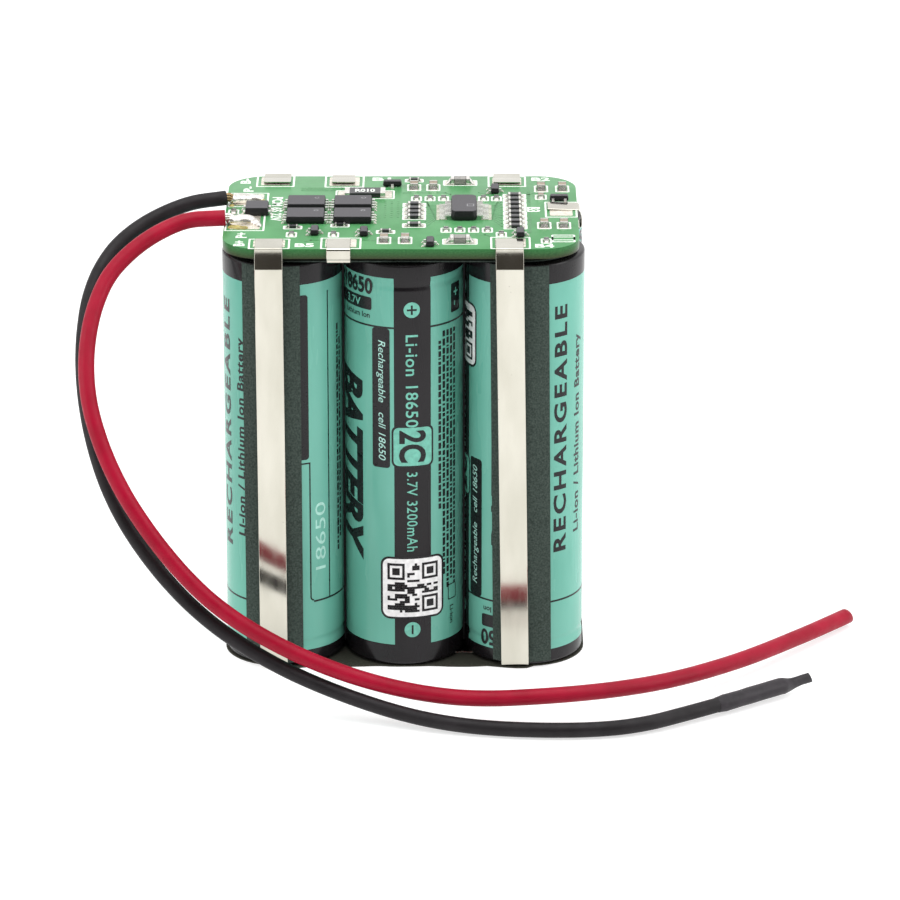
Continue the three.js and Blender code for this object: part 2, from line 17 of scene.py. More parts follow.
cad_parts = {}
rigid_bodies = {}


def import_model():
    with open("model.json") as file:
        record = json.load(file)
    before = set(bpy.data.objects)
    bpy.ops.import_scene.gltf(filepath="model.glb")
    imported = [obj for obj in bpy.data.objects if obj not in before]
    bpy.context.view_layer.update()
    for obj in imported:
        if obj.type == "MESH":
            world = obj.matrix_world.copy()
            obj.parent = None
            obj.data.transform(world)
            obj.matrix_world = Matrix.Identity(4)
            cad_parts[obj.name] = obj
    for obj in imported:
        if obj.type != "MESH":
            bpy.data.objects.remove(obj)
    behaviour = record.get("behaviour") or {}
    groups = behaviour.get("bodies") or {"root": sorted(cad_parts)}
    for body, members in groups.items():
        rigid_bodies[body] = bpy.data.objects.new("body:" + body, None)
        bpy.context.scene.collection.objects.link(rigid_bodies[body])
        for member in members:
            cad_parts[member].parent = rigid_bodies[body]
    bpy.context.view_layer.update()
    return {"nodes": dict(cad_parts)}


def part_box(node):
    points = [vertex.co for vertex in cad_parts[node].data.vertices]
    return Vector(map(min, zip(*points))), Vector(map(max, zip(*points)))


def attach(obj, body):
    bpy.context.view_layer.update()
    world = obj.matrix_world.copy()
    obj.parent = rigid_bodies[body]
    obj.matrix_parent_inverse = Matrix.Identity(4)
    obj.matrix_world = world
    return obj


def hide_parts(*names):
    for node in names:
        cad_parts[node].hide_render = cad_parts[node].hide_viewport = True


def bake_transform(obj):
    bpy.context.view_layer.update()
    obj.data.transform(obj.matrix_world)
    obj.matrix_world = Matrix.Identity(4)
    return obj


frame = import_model()
MM = 0.001


def box(node):
    """A CAD node's lowest and highest corners in millimetres."""
    low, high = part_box(node)
    return low / MM, high / MM


# ---------------------------------------------------------------- driving sizes
FILM = 0.1
INK = 0.008
NICKEL = 0.15
PAPER = 0.2
SLACK = 0.03  # between a wrap and what it covers
BLACK_RADIUS = 1.15
RED_RADIUS = 1.24
BORE_RADIUS = 0.62
RISER_WIDTH = 4.2
TAB_WIDTH = 3.6
TAB_REACH = 4.6
LINK_WIDTH = 8

BOARD_LOW, BOARD_HIGH = box("circuit_board")
BOARD_LEFT, BOARD_FRONT, BOARD_BOTTOM = BOARD_LOW
BOARD_RIGHT, BOARD_REAR, BOARD_TOP = BOARD_HIGH


class Cell:
    """One cell: its axis, ends and how its label is turned about the axis."""

    def __init__(self, name, plus_up, spin):
        low, high = box(name + "_sleeve")
        self.name = name
        self.plus_up = plus_up
        self.spin = math.radians(spin)
        self.x, self.y, _ = (low + high) / 2
        self.bottom = low.z
        self.top = high.z
        self.radius = (high.x - low.x) / 2

    def place(self, arc, height, outward):
        """The point `arc` mm round the label, `height` up it, at the radius `outward`."""
        angle = arc / self.radius
        if self.plus_up:
            turn, z = self.spin + angle, self.bottom + height
        else:
            turn, z = self.spin - angle, self.top - height
        return Vector((self.x + outward * math.sin(turn), self.y - outward * math.cos(turn), z))


CELLS = [
    Cell("front_left", False, -181),
    Cell("front_middle", True, 0),
    Cell("front_right", False, -76),
    Cell("rear_left", True, 205),
    Cell("rear_middle", False, 60),
    Cell("rear_right", True, 120),
]
FRONT_LEFT, FRONT_MIDDLE, FRONT_RIGHT, REAR_LEFT, REAR_MIDDLE, REAR_RIGHT = CELLS
RADIUS = FRONT_LEFT.radius
HEIGHT = FRONT_LEFT.top - FRONT_LEFT.bottom
PITCH = FRONT_MIDDLE.x - FRONT_LEFT.x


# ---------------------------------------------------------------- materials
def linear(colour):
    """A display colour (0 to 255) as linear light."""
    values = [value / 255 for value in colour]
    return [v / 12.92 if v <= 0.04045 else ((v + 0.055) / 1.055) ** 2.4 for v in values] + [1]


def wire(tree, kind, inputs, **settings):
    """Adds a node and gives its outputs. An input is a value or another node's output."""
    made = tree.nodes.new("ShaderNode" + kind)
    for name, value in settings.items():
        setattr(made, name, value)
    for socket, value in inputs.items():
        if isinstance(value, bpy.types.NodeSocket):
            tree.links.new(value, made.inputs[socket])
        else:
            made.inputs[socket].default_value = value
    return made.outputs


class Surface:
    """A node material under construction, with its Principled shader."""

    def __init__(self, name, roughness=0.5, metallic=0.0, coat=0.0, specular=0.5):
        self.material = bpy.data.materials.new(name)
        self.material.use_nodes = True
        self.tree = self.material.node_tree
        self.shader = self.tree.nodes["Principled BSDF"].inputs
        self.coated = coat > 0
        for socket, value in (("Roughness", roughness), ("Metallic", metallic), ("Coat Weight", coat),
                              ("Coat Roughness", 0.12), ("Specular IOR Level", specular)):
            self.shader[socket].default_value = value

    def put(self, socket, source):
        self.tree.links.new(source, self.shader[socket])

    def coordinates(self, stretch=(1, 1, 1)):
        """Object coordinates in millimetres, stretched along each axis."""
        where = wire(self.tree, "TexCoord", {})["Object"]
        scale = [1 / MM / s for s in stretch]
        return wire(self.tree, "VectorMath", {0: where, 1: scale}, operation="MULTIPLY")[0]

    def noise(self, size, detail=3, stretch=(1, 1, 1)):
        """Noise whose features are about `size` mm across."""
        inputs = {"Scale": 1 / size, "Detail": detail, "Vector": self.coordinates(stretch)}
        return wire(self.tree, "TexNoise", inputs)["Fac"]

    def height_of(self, vector):
        return wire(self.tree, "SeparateXYZ", {0: vector})["Z"]

    def facing(self):
        """The upward part of the surface's normal."""
        return self.height_of(wire(self.tree, "NewGeometry", {})["Normal"])

    def span(self, source, low, high, bottom=0.0, top=1.0):
        """Maps a source in low to high on to bottom to top."""
        inputs = {"Value": source, "From Min": low, "From Max": high, "To Min": bottom, "To Max": top}
        return wire(self.tree, "MapRange", inputs)["Result"]

    def blend(self, source, first, second, low=0.35, high=0.65):
        """Goes from one colour to another as the source rises.

        A colour is a display colour (a tuple), linear light (a list) or a node's output.
        """
        first, second = [linear(c) if isinstance(c, tuple) else c for c in (first, second)]
        inputs = {"Factor": self.span(source, low, high), "A": first, "B": second}
        return wire(self.tree, "Mix", inputs, data_type="RGBA")["Result"]

    def tones(self, size, first, second, detail=3, stretch=(1, 1, 1), low=0.35, high=0.65):
        """Colours the surface in patches of two tones."""
        self.put("Base Color", self.blend(self.noise(size, detail, stretch), first, second, low, high))

    def rough(self, source, low, high):
        self.put("Roughness", self.span(source, 0.3, 0.7, low, high))

    def bumps(self, *layers):
        """Adds the layers (height source, distance in mm, strength) and gives the finished material."""
        normal = {}
        for source, distance, strength in layers:
            inputs = {"Height": source, "Distance": distance * MM, "Strength": strength, **normal}
            normal = {"Normal": wire(self.tree, "Bump", inputs)["Normal"]}
        self.put("Normal", normal["Normal"])
        if self.coated:
            self.put("Coat Normal", normal["Normal"])
        return self.material


def film(name, first, second):
    """Printed shrink film: glossy, with faint creases running up the cell."""
    made = Surface(name, coat=0.06, specular=0.26)
    made.tones(9, first, second, stretch=(1, 1, 3))
    made.rough(made.noise(3, 3, (1, 1, 6)), 0.18, 0.32)
    drift = made.noise(7, 1, (1, 1, 2))
    creases = made.noise(1.4, 2, (1, 1, 26))
    return made.bumps((drift, 0.25, 0.5), (creases, 0.04, 0.5))


def ink(name, *colour):
    made = Surface(name, specular=0.3)
    made.tones(0.8, colour, [min(c * 1.25, 1) for c in linear(colour)])
    made.rough(made.noise(0.6), 0.24, 0.36)
    return made.material


def nickel_strip():
    """Rolled nickel: nearly mirror bright, with fine scuffs and a few dark specks."""
    made = Surface("nickel_strip", metallic=1)
    clean = made.blend(made.noise(5, 3, (1, 1, 3)), (196, 193, 180), (208, 205, 193))
    specks = made.blend(made.noise(2), (120, 112, 100), (140, 130, 118), 0.3, 0.7)
    made.put("Base Color", made.blend(made.noise(0.55, 1), specks, clean, 0.17, 0.2))
    made.rough(made.noise(1.2, 4, (1, 1, 4)), 0.1, 0.15)
    dents = made.noise(3.5, 1)
    grain = made.noise(0.12, 2, (1, 1, 9))
    return made.bumps((dents, 0.01, 0.08), (grain, 0.004, 0.14))


def tinned(name, first, second, roughness=0.2, metallic=1.0, bump=0.05):
    made = Surface(name, metallic=metallic)
    made.tones(1.2, first, second)
    made.rough(made.noise(0.5), roughness * 0.6, roughness * 1.5)
    return made.bumps((made.noise(0.45), bump, 0.5))


def fish_paper(name, dark, light):
    made = Surface(name, roughness=0.93, specular=0.2)
    made.tones(0.28, dark, light, 5, low=0.3, high=0.75)
    fibres = made.noise(0.22, 5, (1, 1, 1.6))
    return made.bumps((made.noise(4, 1), 0.1, 0.3), (fibres, 0.03, 0.7))


def solder_mask():
    """Green lacquer on top; the cut edge is a duller green, painted darker still as shade, and painted shade
    turns it brown-black at its foot.
    """
    made = Surface("board_laminate", roughness=0.32, coat=0.06, specular=0.16)
    top = made.blend(made.noise(6), (70, 134, 81), (82, 146, 93))
    grain = made.noise(0.3, 4, (1, 1, 0.5))
    # Painted shade: the edge darkens to brown-black towards the board's underside.
    foot = made.blend(grain, (38, 44, 24), (62, 66, 40), 0.3, 0.7)
    rim = made.blend(grain, (38, 92, 48), (60, 118, 66), 0.3, 0.7)
    edge = made.blend(made.height_of(made.coordinates()), foot, rim, BOARD_BOTTOM, BOARD_TOP - 0.3)
    # The edge is painted darker than the top: its own duller green with painted shade over it.
    made.put("Base Color", made.blend(made.facing(), edge, top, 0.45, 0.7))
    return made.bumps((made.noise(0.5, 4), 0.02, 0.4))


def moulding():
    """Moulding compound: black, with a painted reflection that greys its top while its sides stay black."""
    made = Surface("moulding_compound", specular=0.35)
    grain = made.noise(0.2, 4)
    sides = made.blend(grain, (22, 22, 24), (30, 30, 32), 0.3, 0.7)
    # Painted reflection: faces that point up are a lighter grey than the black sides.
    top = made.blend(grain, (66, 64, 68), (78, 76, 80), 0.3, 0.7)
    made.put("Base Color", made.blend(made.facing(), sides, top, 0.45, 0.7))
    return made.bumps((grain, 0.012, 0.5))


def plain(name, first, second, size=0.6, roughness=0.5, bump=0.02, metallic=0.0, coat=0.0, specular=0.5):
    """Two close tones, a varied roughness and a fine surface."""
    made = Surface(name, roughness, metallic, coat, specular)
    made.tones(size, first, second)
    made.rough(made.noise(size * 2), roughness * 0.85, roughness * 1.15)
    return made.bumps((made.noise(size / 2, 4), bump, 0.5))


def silicone(name, dark, light):
    made = Surface(name, specular=0.2)
    made.tones(5, dark, light, 4)
    made.rough(made.noise(1.5, 4), 0.38, 0.56)
    return made.bumps((made.noise(2.2, 2), 0.05, 0.3), (made.noise(0.2, 4), 0.012, 0.6))


TEAL = film("film_teal", (100, 170, 152), (112, 180, 163))
PRINT_BLACK = film("film_black", (20, 18, 20), (28, 25, 28))
INKS = {
    "dark": ink("ink_dark", 22, 22, 24),
    "teal": ink("ink_teal", 108, 178, 160),
    "white": ink("ink_white", 226, 226, 226),
    "pale": ink("ink_pale", 160, 205, 194),
}
STRIP = nickel_strip()
FISH_PAPER = fish_paper("insulating_paper", (44, 54, 49), (74, 85, 79))
# The base sheet is the insulating paper again, painted darker and less green as painted shade under the
# pack.
SHADED_BASE_PAPER = fish_paper("base_paper", (44, 44, 39), (70, 70, 61))
GLUE = plain("glue", (16, 16, 17), (26, 26, 28), 0.8, 0.6, specular=0.2)
MASK = solder_mask()
TRACE = plain("mask_over_copper", (60, 122, 71), (72, 134, 82), 2, 0.28, 0.01, coat=0.06, specular=0.16)
SILK = plain("silkscreen", (224, 230, 222), (240, 244, 238), 0.3, 0.6)
TIN = tinned("solder_tin", (212, 208, 202), (240, 237, 232), 0.2, 0.75, bump=0.02)
PAD = tinned("tinned_pad", (212, 204, 190), (236, 230, 218), 0.3, 0.6)
FLUX = plain("flux", (134, 120, 56), (186, 172, 98), 0.7, 0.2, 0.04)
MOULDED = moulding()
MARKING = plain("laser_mark", (150, 150, 152), (176, 176, 178), 0.2, 0.6)
LEGS = tinned("component_legs", (216, 214, 210), (238, 236, 232), 0.26, 0.55)
CERAMIC_BLACK = plain("resistor_coat", (26, 26, 28), (38, 38, 40), 0.3, 0.3)
CERAMIC_TAN = plain("capacitor_body", (132, 116, 98), (156, 140, 120), 0.3, 0.4)
CERAMIC_GREY = plain("capacitor_grey", (122, 120, 116), (150, 148, 142), 0.3, 0.4)
RED = silicone("red_silicone", (142, 2, 34), (158, 6, 42))
BLACK = silicone("black_silicone", (28, 25, 27), (38, 35, 37))
SHRINK = plain("heat_shrink", (32, 28, 32), (44, 39, 44), 1.6, 0.42, 0.05, specular=0.3)
STRANDS = tinned("tinned_strands", (120, 96, 62), (184, 156, 112), 0.3, 0.7)
CAN = plain("can_steel", (170, 171, 173), (192, 193, 195), 2, 0.3, metallic=1)
ROLL = plain("electrode_roll", (70, 52, 40), (96, 74, 58), 0.5, 0.7)
GASKET = plain("gasket_plastic", (34, 50, 72), (46, 64, 88), 1, 0.55)


# ---------------------------------------------------------------- meshes
def make_piece(name, data, materials, body, replaces=(), smooth=40, bevel=0.0):
    """Adds a piece from a bmesh in millimetres. Edges flatter than `smooth` degrees shade smooth."""
    bmesh.ops.remove_doubles(data, verts=data.verts, dist=1e-5)
    if bevel:
        sharp = [e for e in data.edges if e.is_manifold and e.calc_face_angle(0) > math.radians(35)]
        bmesh.ops.bevel(data, geom=sharp, offset=bevel, segments=2, affect="EDGES", profile=0.6)
    bmesh.ops.recalc_face_normals(data, faces=data.faces)
    bmesh.ops.scale(data, vec=(MM, MM, MM), verts=data.verts)
    mesh = bpy.data.meshes.new(name)
    data.to_mesh(mesh)
    data.free()
    for material in materials:
        mesh.materials.append(material)
    mesh.shade_smooth()
    mesh.set_sharp_from_angle(angle=math.radians(smooth))
    piece = bpy.data.objects.new(name, mesh)
    bpy.context.scene.collection.objects.link(piece)
    if body:
        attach(piece, body)
    if replaces:
        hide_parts(*replaces)
    return piece


def moved(x, y, z=0.0, turn=0.0):
    return Matrix.Translation((x, y, z)) @ Matrix.Rotation(math.radians(turn), 4, "Z")


UPRIGHT = Matrix.Rotation(math.radians(90), 4, "X")


def add_loft(data, rings, material=0, closed=False):
    """Joins rings of points into a skin. Open lofts get end caps; closed ones join last to first."""
    loops = [[data.verts.new(point) for point in ring] for ring in rings]
    count = len(loops[0])
    faces = []
    for first, second in zip(loops, loops[1:] + loops[:1] if closed else loops[1:]):
        for i in range(count):
            j = (i + 1) % count
            faces.append(data.faces.new((first[i], first[j], second[j], second[i])))
    if not closed:
        faces += [data.faces.new(loops[0][::-1]), data.faces.new(loops[-1])]
    for face in faces:
        face.material_index = material
    return faces


def add_prism(data, outline, z_low, z_high, material=0, place=Matrix.Identity(4)):
    """A flat outline of (x, y) points raised from z_low to z_high."""
    add_loft(data, [[place @ Vector((x, y, z)) for x, y in outline] for z in (z_low, z_high)], material)


def add_box(data, low, high, material=0, place=Matrix.Identity(4)):
    """A box between two corners."""
    add_prism(data, rounded_rectangle(low[0], high[0], low[1], high[1]), low[2], high[2], material, place)


def rounded_rectangle(x0, x1, y0, y1, corner=0.0, steps=6):
    if corner <= 0:
        return [(x0, y0), (x1, y0), (x1, y1), (x0, y1)]
    points = []
    for x, y, start in ((x1 - corner, y0 + corner, -90), (x1 - corner, y1 - corner, 0),
                        (x0 + corner, y1 - corner, 90), (x0 + corner, y0 + corner, 180)):
        for i in range(steps + 1):
            angle = math.radians(start + 90 * i / steps)
            points.append((x + corner * math.cos(angle), y + corner * math.sin(angle)))
    return points


def circle(x, y, radius, sides=28):
    turn = 2 * math.pi / sides
    return [(x + radius * math.cos(i * turn), y + radius * math.sin(i * turn)) for i in range(sides)]


def plate(outline, thick=INK):
    """A thin plate standing on z = 0."""
    data = bmesh.new()
    add_prism(data, outline, 0, thick)
    return data


def frame_plate(x0, x1, y0, y1, corner, width, thick=INK):
    """A thin rectangular frame standing on z = 0."""
    outer = rounded_rectangle(x0, x1, y0, y1, corner)
    inner = rounded_rectangle(x0 + width, x1 - width, y0 + width, y1 - width,
                              max(corner - width, 0.01 if corner else 0))
    section = ((outer, 0), (outer, thick), (inner, thick), (inner, 0))
    data = bmesh.new()
    add_loft(data, [[(x, y, z) for x, y in outline] for outline, z in section], closed=True)
    return data


def to_bmesh(curve):
    """Text or a lump of metaballs as a bmesh."""
    holder = bpy.data.objects.new("outline", curve)
    bpy.context.scene.collection.objects.link(holder)
    graph = bpy.context.evaluated_depsgraph_get()
    mesh = bpy.data.meshes.new_from_object(holder.evaluated_get(graph))
    data = bmesh.new()
    data.from_mesh(mesh)
    bmesh.ops.remove_doubles(data, verts=data.verts, dist=1e-5)
    bpy.data.objects.remove(holder)
    bpy.data.batch_remove((curve, mesh))
    return data


def lettering(words, length, height, bold=0.0, slant=0.0, spacing=1.0, thick=INK):
    """Flat letters stretched to length by height, their lower left corner at the origin."""
    curve = bpy.data.curves.new("words", "FONT")
    curve.body = words
    curve.size = 1
    curve.offset = bold
    curve.shear = slant
    curve.space_character = spacing
    curve.resolution_u = 4
    curve.extrude = 0.01
    data = to_bmesh(curve)
    low, high = [[most(v.co[i] for v in data.verts) for i in range(3)] for most in (min, max)]
    scale = [size / (b - a) for size, a, b in zip((length, height, thick), low, high)]
    for vert in data.verts:
        vert.co = [(c - a) * s for c, a, s in zip(vert.co, low, scale)]
    return data


def merge(target, source, matrix=Matrix.Identity(4), material=0):
    """Adds one bmesh to another and frees it."""
    bmesh.ops.transform(source, matrix=matrix, verts=source.verts)
    for face in source.faces:
        face.material_index = material
    holder = bpy.data.meshes.new("part")
    source.to_mesh(holder)
    source.free()
    target.from_mesh(holder)
    bpy.data.meshes.remove(holder)


# ---------------------------------------------------------------- cell sleeves
BAND = (-9, 27)  # the black stripe up the label, in degrees round the cell
MINUS_BAND = 3.3
PLUS_BAND = 2.2
MINUS_HOLE = 7.8  # radius of the film's opening at each end
PLUS_HOLE = 7
SLEEVE_SIDES = 120


def sleeve_profile():
    """(radius, height) points round the film's section, button end up."""
    corner = 0.45
    quarter = [math.radians(90 * i / 4) for i in range(5)]
    points = [(MINUS_HOLE, 0)]
    points += [(RADIUS - corner + corner * math.sin(a), corner - corner * math.cos(a)) for a in quarter]
    points += [(RADIUS, height) for height in (MINUS_BAND, 12, 24, 36, 48)]
    for i in range(-4, 5):
        dip = 0.08 * (1 + math.cos(math.pi * i / 4))
        points.append((RADIUS - dip, HEIGHT - 3.5 + i * 0.22))
    points.append((RADIUS, HEIGHT - PLUS_BAND))
    points += [(RADIUS - corner + corner * math.cos(a), HEIGHT - corner + corner * math.sin(a))
               for a in quarter]
    bore = RADIUS - FILM * 1.6
    return points + [(PLUS_HOLE, HEIGHT), (PLUS_HOLE, HEIGHT - FILM), (bore, HEIGHT - FILM * 3),
                     (bore, FILM * 3), (MINUS_HOLE, FILM)]


def build_sleeve(cell):
    profile = sleeve_profile()
    step = 360 / SLEEVE_SIDES
    rings = [[cell.place(math.radians(i * step) * RADIUS, height, radius) for i in range(SLEEVE_SIDES)]
             for radius, height in profile]
    levels = [(a[1] + b[1]) / 2 for a, b in zip(profile, profile[1:] + profile[:1])]
    data = bmesh.new()
    for index, face in enumerate(add_loft(data, rings, closed=True)):
        ring, side = divmod(index, SLEEVE_SIDES)
        degrees = (side + 0.5) * step
        degrees -= 360 if degrees > 180 else 0
        at_end = levels[ring] < MINUS_BAND or levels[ring] > HEIGHT - PLUS_BAND
        face.material_index = int(at_end or BAND[0] < degrees < BAND[1])
    make_piece(cell.name + "_film", data, [TEAL, PRINT_BLACK], "pack",
               [cell.name + "_sleeve"])


# ---------------------------------------------------------------- printed labels
PANEL_EDGE = 153.2  # the date panel's edge, in degrees round the label
LEVEL_GAP = 0.004  # between one ink and the next over it
FIRST_LEVEL = 0.006
NEXT_LEVEL = FIRST_LEVEL + INK + LEVEL_GAP
LAST_LEVEL = NEXT_LEVEL + INK + LEVEL_GAP
COLUMN = 0.6  # the artwork is cut into columns this wide, so that it can bend round a cell


def degrees_to_arc(degrees):
    return math.radians(degrees) * RADIUS


class Label:
    """The flat artwork, one bmesh for each ink, in millimetres round and up the label."""

    def __init__(self):
        self.inks = {name: bmesh.new() for name in INKS}

    def add(self, ink_name, data, x=0.0, y=0.0, level=FIRST_LEVEL, turn=0):
        bmesh.ops.transform(data, matrix=moved(x, y, level, turn), verts=data.verts)
        low = min(v.co.x for v in data.verts)
        high = max(v.co.x for v in data.verts)
        for i in range(math.ceil(low / COLUMN), math.ceil(high / COLUMN)):
            geometry = data.verts[:] + data.edges[:] + data.faces[:]
            bmesh.ops.bisect_plane(data, geom=geometry, plane_co=(i * COLUMN, 0, 0), plane_no=(1, 0, 0))
        merge(self.inks[ink_name], data)

    def down(self, ink_name, words, degrees, start, length, height, level=FIRST_LEVEL, **style):
        """Words read from `start` downwards, centred on a line `degrees` round the label."""
        shape = lettering(words, length, height, **style)
        self.add(ink_name, shape, degrees_to_arc(degrees) - height / 2, start, level, -90)

    def patch(self, ink_name, from_degrees, to_degrees, low, high, corner=0.0, level=FIRST_LEVEL):
        x0, x1 = degrees_to_arc(from_degrees), degrees_to_arc(to_degrees)
        self.add(ink_name, plate(rounded_rectangle(x0, x1, low, high, corner)), level=level)


def draw_code_square(label, arc, height, side):
    """A white square with a random pattern of dark cells. It holds no message."""
    edge, quiet, cells, finder = 0.35, 0.75, 21, 7
    half = side / 2
    outer = half + edge
    label.add("dark", frame_plate(-outer, outer, -outer, outer, 1.4, edge), arc, height)
    label.add("white", plate(rounded_rectangle(-half, half, -half, half, 1.1)), arc, height)
    pitch = (side - 2 * quiet) / cells

    def dark(column, row, shape):
        x, y = arc - half + quiet + column * pitch, height - half + quiet + row * pitch
        label.add("dark", shape, x, y, NEXT_LEVEL)

    far = cells - finder
    corners = [(0, far), (far, far), (far, 0)]
    for x, y in corners:
        dark(x, y, frame_plate(0, finder * pitch, 0, finder * pitch, 0, pitch))
        dark(x + 2, y + 2, plate(rounded_rectangle(0, 3 * pitch, 0, 3 * pitch)))
    shuffle = random.Random(7)
    for row in range(cells):
        column = 0
        while column < cells:
            run = shuffle.randint(1, 3)
            busy = any(x - run <= column <= x + finder and y - 1 <= row <= y + finder for x, y in corners)
            if not busy and column + run <= cells and shuffle.random() < 0.6:
                dark(column, row, plate(rounded_rectangle(0, run * pitch, 0, pitch * 0.98)))
            column += run


def draw_signs(label, arc):
    """A plus in a disc near the button end and a minus in a disc near the other."""
    bar, long = 0.15, 0.75
    for height, strokes in ((58, ((bar, long), (long, bar))), (5.8, ((bar, long),))):
        label.add("teal", plate(circle(0, 0, 1.25)), arc, height)
        for i, (x, y) in enumerate(strokes):
            label.add("dark", plate(rounded_rectangle(-x, x, -y, y)), arc, height, NEXT_LEVEL + i * 0.002)


def draw_heading(label, ring):
    """The cell's size, voltage and kind, level with the button end, above the ring line."""
    label.add("dark", lettering("18650", 6.7, 2.65, bold=0.03), -11.6, ring + 5.1)
    label.patch("dark", -79, -31.5, ring + 2.6, ring + 4.65, 0.35)
    label.add("teal", lettering("3.7V", 3.4, 1.25, bold=0.01), -10.6, ring + 3, NEXT_LEVEL)
    label.add("dark", lettering("Lithium Ion", 5.6, 0.9, bold=0.02), -11, ring + 1.3)
    label.patch("dark", 27, PANEL_EDGE - 4, ring, ring + 0.3)
    label.patch("dark", 171, 351, ring, ring + 0.3)
    label.patch("dark", 52, 67, ring + 1.5, ring + 6.1, 0.2)
    label.down("teal", "+ -", 59.5, ring + 5.3, 2.8, 1.1, NEXT_LEVEL, bold=0.02)


def draw_small_print(label):
    """Columns of plain dashes in place of small print."""
    shuffle = random.Random(3)
    width = 1.6
    for degrees, start, end in ((37, 52.5, 26), (42, 54, 15), (47, 54, 12), (52, 54, 13), (57, 54, 12),
                                (109.5, 46, 14), (114.5, 48, 12)):
        height = start
        while height > end:
            length = shuffle.uniform(0.25, 1.3)
            label.patch("dark", degrees - width, degrees + width, height - length, height)
            height -= length + shuffle.uniform(0.18, 0.35)


def draw_date_panel(label, ring):
    """A bar and the lines round a panel with a pale number in it."""
    bend, thin = 0.64, 0.24
    label.patch("dark", PANEL_EDGE, 165, 5, 31.6, 0.5)
    label.patch("dark", 129.3, 130.7, 5, ring)
    label.patch("dark", PANEL_EDGE, 165, 32.1, 32.35)
    label.patch("dark", PANEL_EDGE - 1.4, PANEL_EDGE, 32.1, ring - 0.6)
    turns = [math.pi / 8 * i for i in range(5)]
    corner = [(radius * math.cos(a), radius * math.sin(a))
              for radius, angles in ((bend, turns), (bend - thin, turns[::-1])) for a in angles]
    label.add("dark", plate(corner), degrees_to_arc(PANEL_EDGE) - bend, ring - 0.6)
    label.down("pale", "18650", 141, 50, 11, 1.9)


def draw_label():
    label = Label()
    middle = 8.2
    arc = degrees_to_arc(middle)
    ring = 54.95
    draw_signs(label, arc)
    draw_heading(label, ring)
    draw_small_print(label)
    # Words down the black stripe.
    label.down("teal", "Li-ion 18650", middle, 54, 14.9, 1.95, bold=0.012, spacing=1.1)
    label.patch("dark", -11.5, 29.5, 32.5, 39.4, 1.1)
    label.patch("teal", -9.6, 27.6, 32.85, 39.05, 0.85, NEXT_LEVEL)
    label.down("dark", "2C", middle + 0.5, 38.6, 5.2, 4.2, LAST_LEVEL, bold=0.03)
    label.down("teal", "3.7V 3200mAh", middle, 31.8, 13, 1.65, bold=0.008, spacing=1.1)
    draw_code_square(label, arc + 0.15, 12.75, 9.6)
    # Columns of words down the label.
    label.patch("dark", -31, -13, 32.4, ring, 0.5)
    label.down("pale", "Rechargeable   cell 18650", -22, 53, 19.4, 1.5, NEXT_LEVEL, slant=0.25)
    label.down("dark", "BATTERY", -60, 47.5, 31, 5.6, bold=0.05, slant=0.3)
    label.down("dark", "RECHARGEABLE", -113, 47, 40, 2.45, bold=0.03, spacing=1.25)
    label.down("dark", "Li-ion / Lithium Ion Battery", -138, 44.7, 32.2, 2, bold=0.03, spacing=1.1)
    draw_date_panel(label, ring)
    label.down("dark", "Li-ion", 53, 8.6, 3, 0.9, bold=0.02)
    label.add("dark", frame_plate(7.6, 9.6, 9.6, 12.2, 0.3, 0.18))
    return label


def print_label(label, cell):
    """Wraps the artwork round one cell, all inks in one piece."""
    data = bmesh.new()
    for index, shapes in enumerate(label.inks.values()):
        copy = shapes.copy()
        for vert in copy.verts:
            vert.co = cell.place(vert.co.x, vert.co.y, RADIUS + vert.co.z)
        merge(data, copy, material=index)
    make_piece(cell.name + "_print", data, list(INKS.values()), "pack")


# ---------------------------------------------------------------- nickel
TO_FRONT = -90
TO_REAR = 90
TO_RIGHT = 0
FOLD_CLEARANCE = 0.2 + NICKEL / 2  # from a board edge to the middle of the nickel round it
OVER_BOARD = BOARD_TOP + NICKEL / 2 + SLACK
RISER_BOW = 0.75
RISER_BOW_DROP = 3


def folded_path(corners, fold):
    """Rounds the corners of a path of (u, z) points."""
    steps = 7
    points = [Vector(c) for c in corners]
    path = [points[0]]
    for before, corner, after in zip(points, points[1:], points[2:]):
        back, ahead = before - corner, after - corner
        trim = min(fold, back.length / 2.05, ahead.length / 2.05)
        enter = corner + back.normalized() * trim
        leave = corner + ahead.normalized() * trim
        for i in range(steps + 1):
            t = i / steps
            path.append(enter * (1 - t) ** 2 + corner * 2 * t * (1 - t) + leave * t * t)
    return path + [points[-1]]


def dense(path, spacing=1.2):
    """Adds points to the long stretches of a path."""
    out = []
    for first, second in zip(path, path[1:]):
        count = max(1, round((second - first).length / spacing))
        out += [first.lerp(second, i / count) for i in range(count)]
    return out + [path[-1]]


def add_strip(data, path, width, place, wave, seed=0):
    """A metal strip along a path of (u, z) points, its edges slightly softened."""
    half, thin, soft = width / 2, NICKEL / 2, 0.05
    section = [(-half, -thin + soft), (-half + soft, -thin), (half - soft, -thin), (half, -thin + soft),
               (half, thin - soft), (half - soft, thin), (-half + soft, thin), (-half, thin - soft)]
    path = dense(path)
    rings = []
    for before, point, after in zip(path[:1] + path, path, path[1:] + path[-1:]):
        ahead = (after - before).normalized()
        across = Vector((-ahead.y, ahead.x))
        ripple = wave * noise.noise(Vector((seed, point.x * 0.2, point.y * 0.2)))
        ring = []
        for side, height in section:
            u, z = point + across * (height + ripple)
            ring.append(place @ Vector((u, side, z)))
        rings.append(ring)
    add_loft(data, rings)


def make_nickel(node, data, bevel=0.0):
    make_piece(node + "_strip", data, [STRIP], "pack", [node], smooth=30, bevel=bevel)


def add_dimples(data, cells, low, high):
    """Four weld dimples on each cell's axis."""
    for cell in cells:
        for dx in (-1.1, 1.1):
            for dy in (-0.9, 0.9):
                add_prism(data, circle(cell.x + dx, cell.y + dy, 0.45, 14), low, high)


